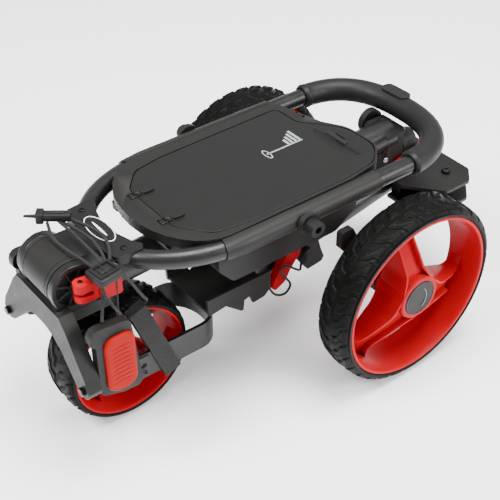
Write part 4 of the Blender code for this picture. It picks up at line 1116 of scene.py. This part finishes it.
# ---- yoke badge and screws ----------------------------------------------------------------
YOKE_TOP = 0.2909
BADGE = at(-0.3527, 0.0010, YOKE_TOP)


def badge_oval(radius_x, radius_y):
    return arc((BADGE.x, BADGE.y), radius_x, radius_y, 0, 355, 71)


def badge():
    """A plain oval ring with a bar inside it, in white on the yoke."""
    low, high = YOKE_TOP - 0.0002, YOKE_TOP + 0.00045
    shapes = [plate("badge_ring", [badge_oval(0.0128, 0.0300), badge_oval(0.0117, 0.0287)], low, high),
              plate("badge_bar", [badge_oval(0.0014, 0.0170)], low, high)]
    return piece(merged("yoke_badge", shapes), "white_print", "handle")


def screw(name, spot, axis, outward, body, radius=0.0040, look="bolt"):
    """A pan-head screw with a round socket."""
    height, foot = 0.0016, -0.0004
    profile = softened([(0, 0.0004), (radius * 0.48, 0.0004), (radius * 0.50, height),
                        (radius * 0.82, height), (radius, height * 0.25), (radius, foot), (0, foot)],
                       0.0003, 2)
    head = lathe(name, [(r, outward * h) for r, h in profile], spot, axis, 30, False)
    return piece(head, look, body)


badge()
BOLT_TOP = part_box("leg_bolt_near")[1].z
for side_name, side in SIDES:
    screw(f"yoke_screw_{side_name}", at(-0.3500, side * 0.0470, YOKE_TOP), "Z", 1, "handle")
for side_name, side in SIDES:
    screw(f"leg_screw_{side_name}", at(0.184, side * 0.064, BOLT_TOP), "Z", 1, "frame", 0.0052)
screw("collar_screw", at(0.1005, -0.0222, 0.2175), "Y", 1, "frame", 0.0042, "steel")


# ---- fork lugs and their screws -----------------------------------------------------------
FORK_FACE = abs(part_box("front_fork")[0].y)


def fork_lug(side_name, side):
    """A small plate on the fork arm's face, with two screws in it."""
    middle_y, half = side * (FORK_FACE + 0.0006), 0.0016
    lug = block(f"fork_lug_{side_name}", at(-0.3500, middle_y - half, 0.0780),
                at(-0.3300, middle_y + half, 0.1120), 0.0012)
    piece(faired(lug), "paint", "front_leg")
    for height in (0.0860, 0.0980):
        screw(f"fork_screw_{side_name}_{height:.3f}", at(-0.3380, side * (FORK_FACE + 0.0022), height),
              "Y", -side, "front_leg", 0.0030)


for side_name, side in SIDES:
    fork_lug(side_name, side)


# ---- every other CAD node keeps its shape, with rounded edges ------------------------------
PLAIN = {
    "paint": ("barrel_ear_near", "barrel_ear_far", "main_spine", "front_spine", "front_fork",
              "rear_leg_near", "rear_leg_far", "wheel_carrier_near", "wheel_carrier_far",
              "hinge_barrel"),
    "plastic": ("console_base", "yoke_plate", "cradle_arch", "hub_housing", "spine_collar",
                "spine_knob", "accessory_boss_near", "accessory_boss_far", "wing_near", "wing_far",
                "lower_bag_rest", "latch_bracket"),
    "grip": ("grip_button",),
    "red": ("cam_lever", "hub_lever", "latch_lever"),
    "bolt": ("hinge_pin", "cam_pin", "front_axle", "leg_bolt_near", "leg_bolt_far",
             "wing_bolt_near", "wing_bolt_far"),
    "steel": ("cam_eye", "lid_hinge_pin", "cross_rod", "front_pin", "rear_axle_near",
              "rear_axle_far"),
    "cord": ("elastic_drop", "elastic_loop", "brake_cable"),
    "webbing": ("fork_strap",),
}
for look, nodes in PLAIN.items():
    for node in nodes:
        refined(node, look)
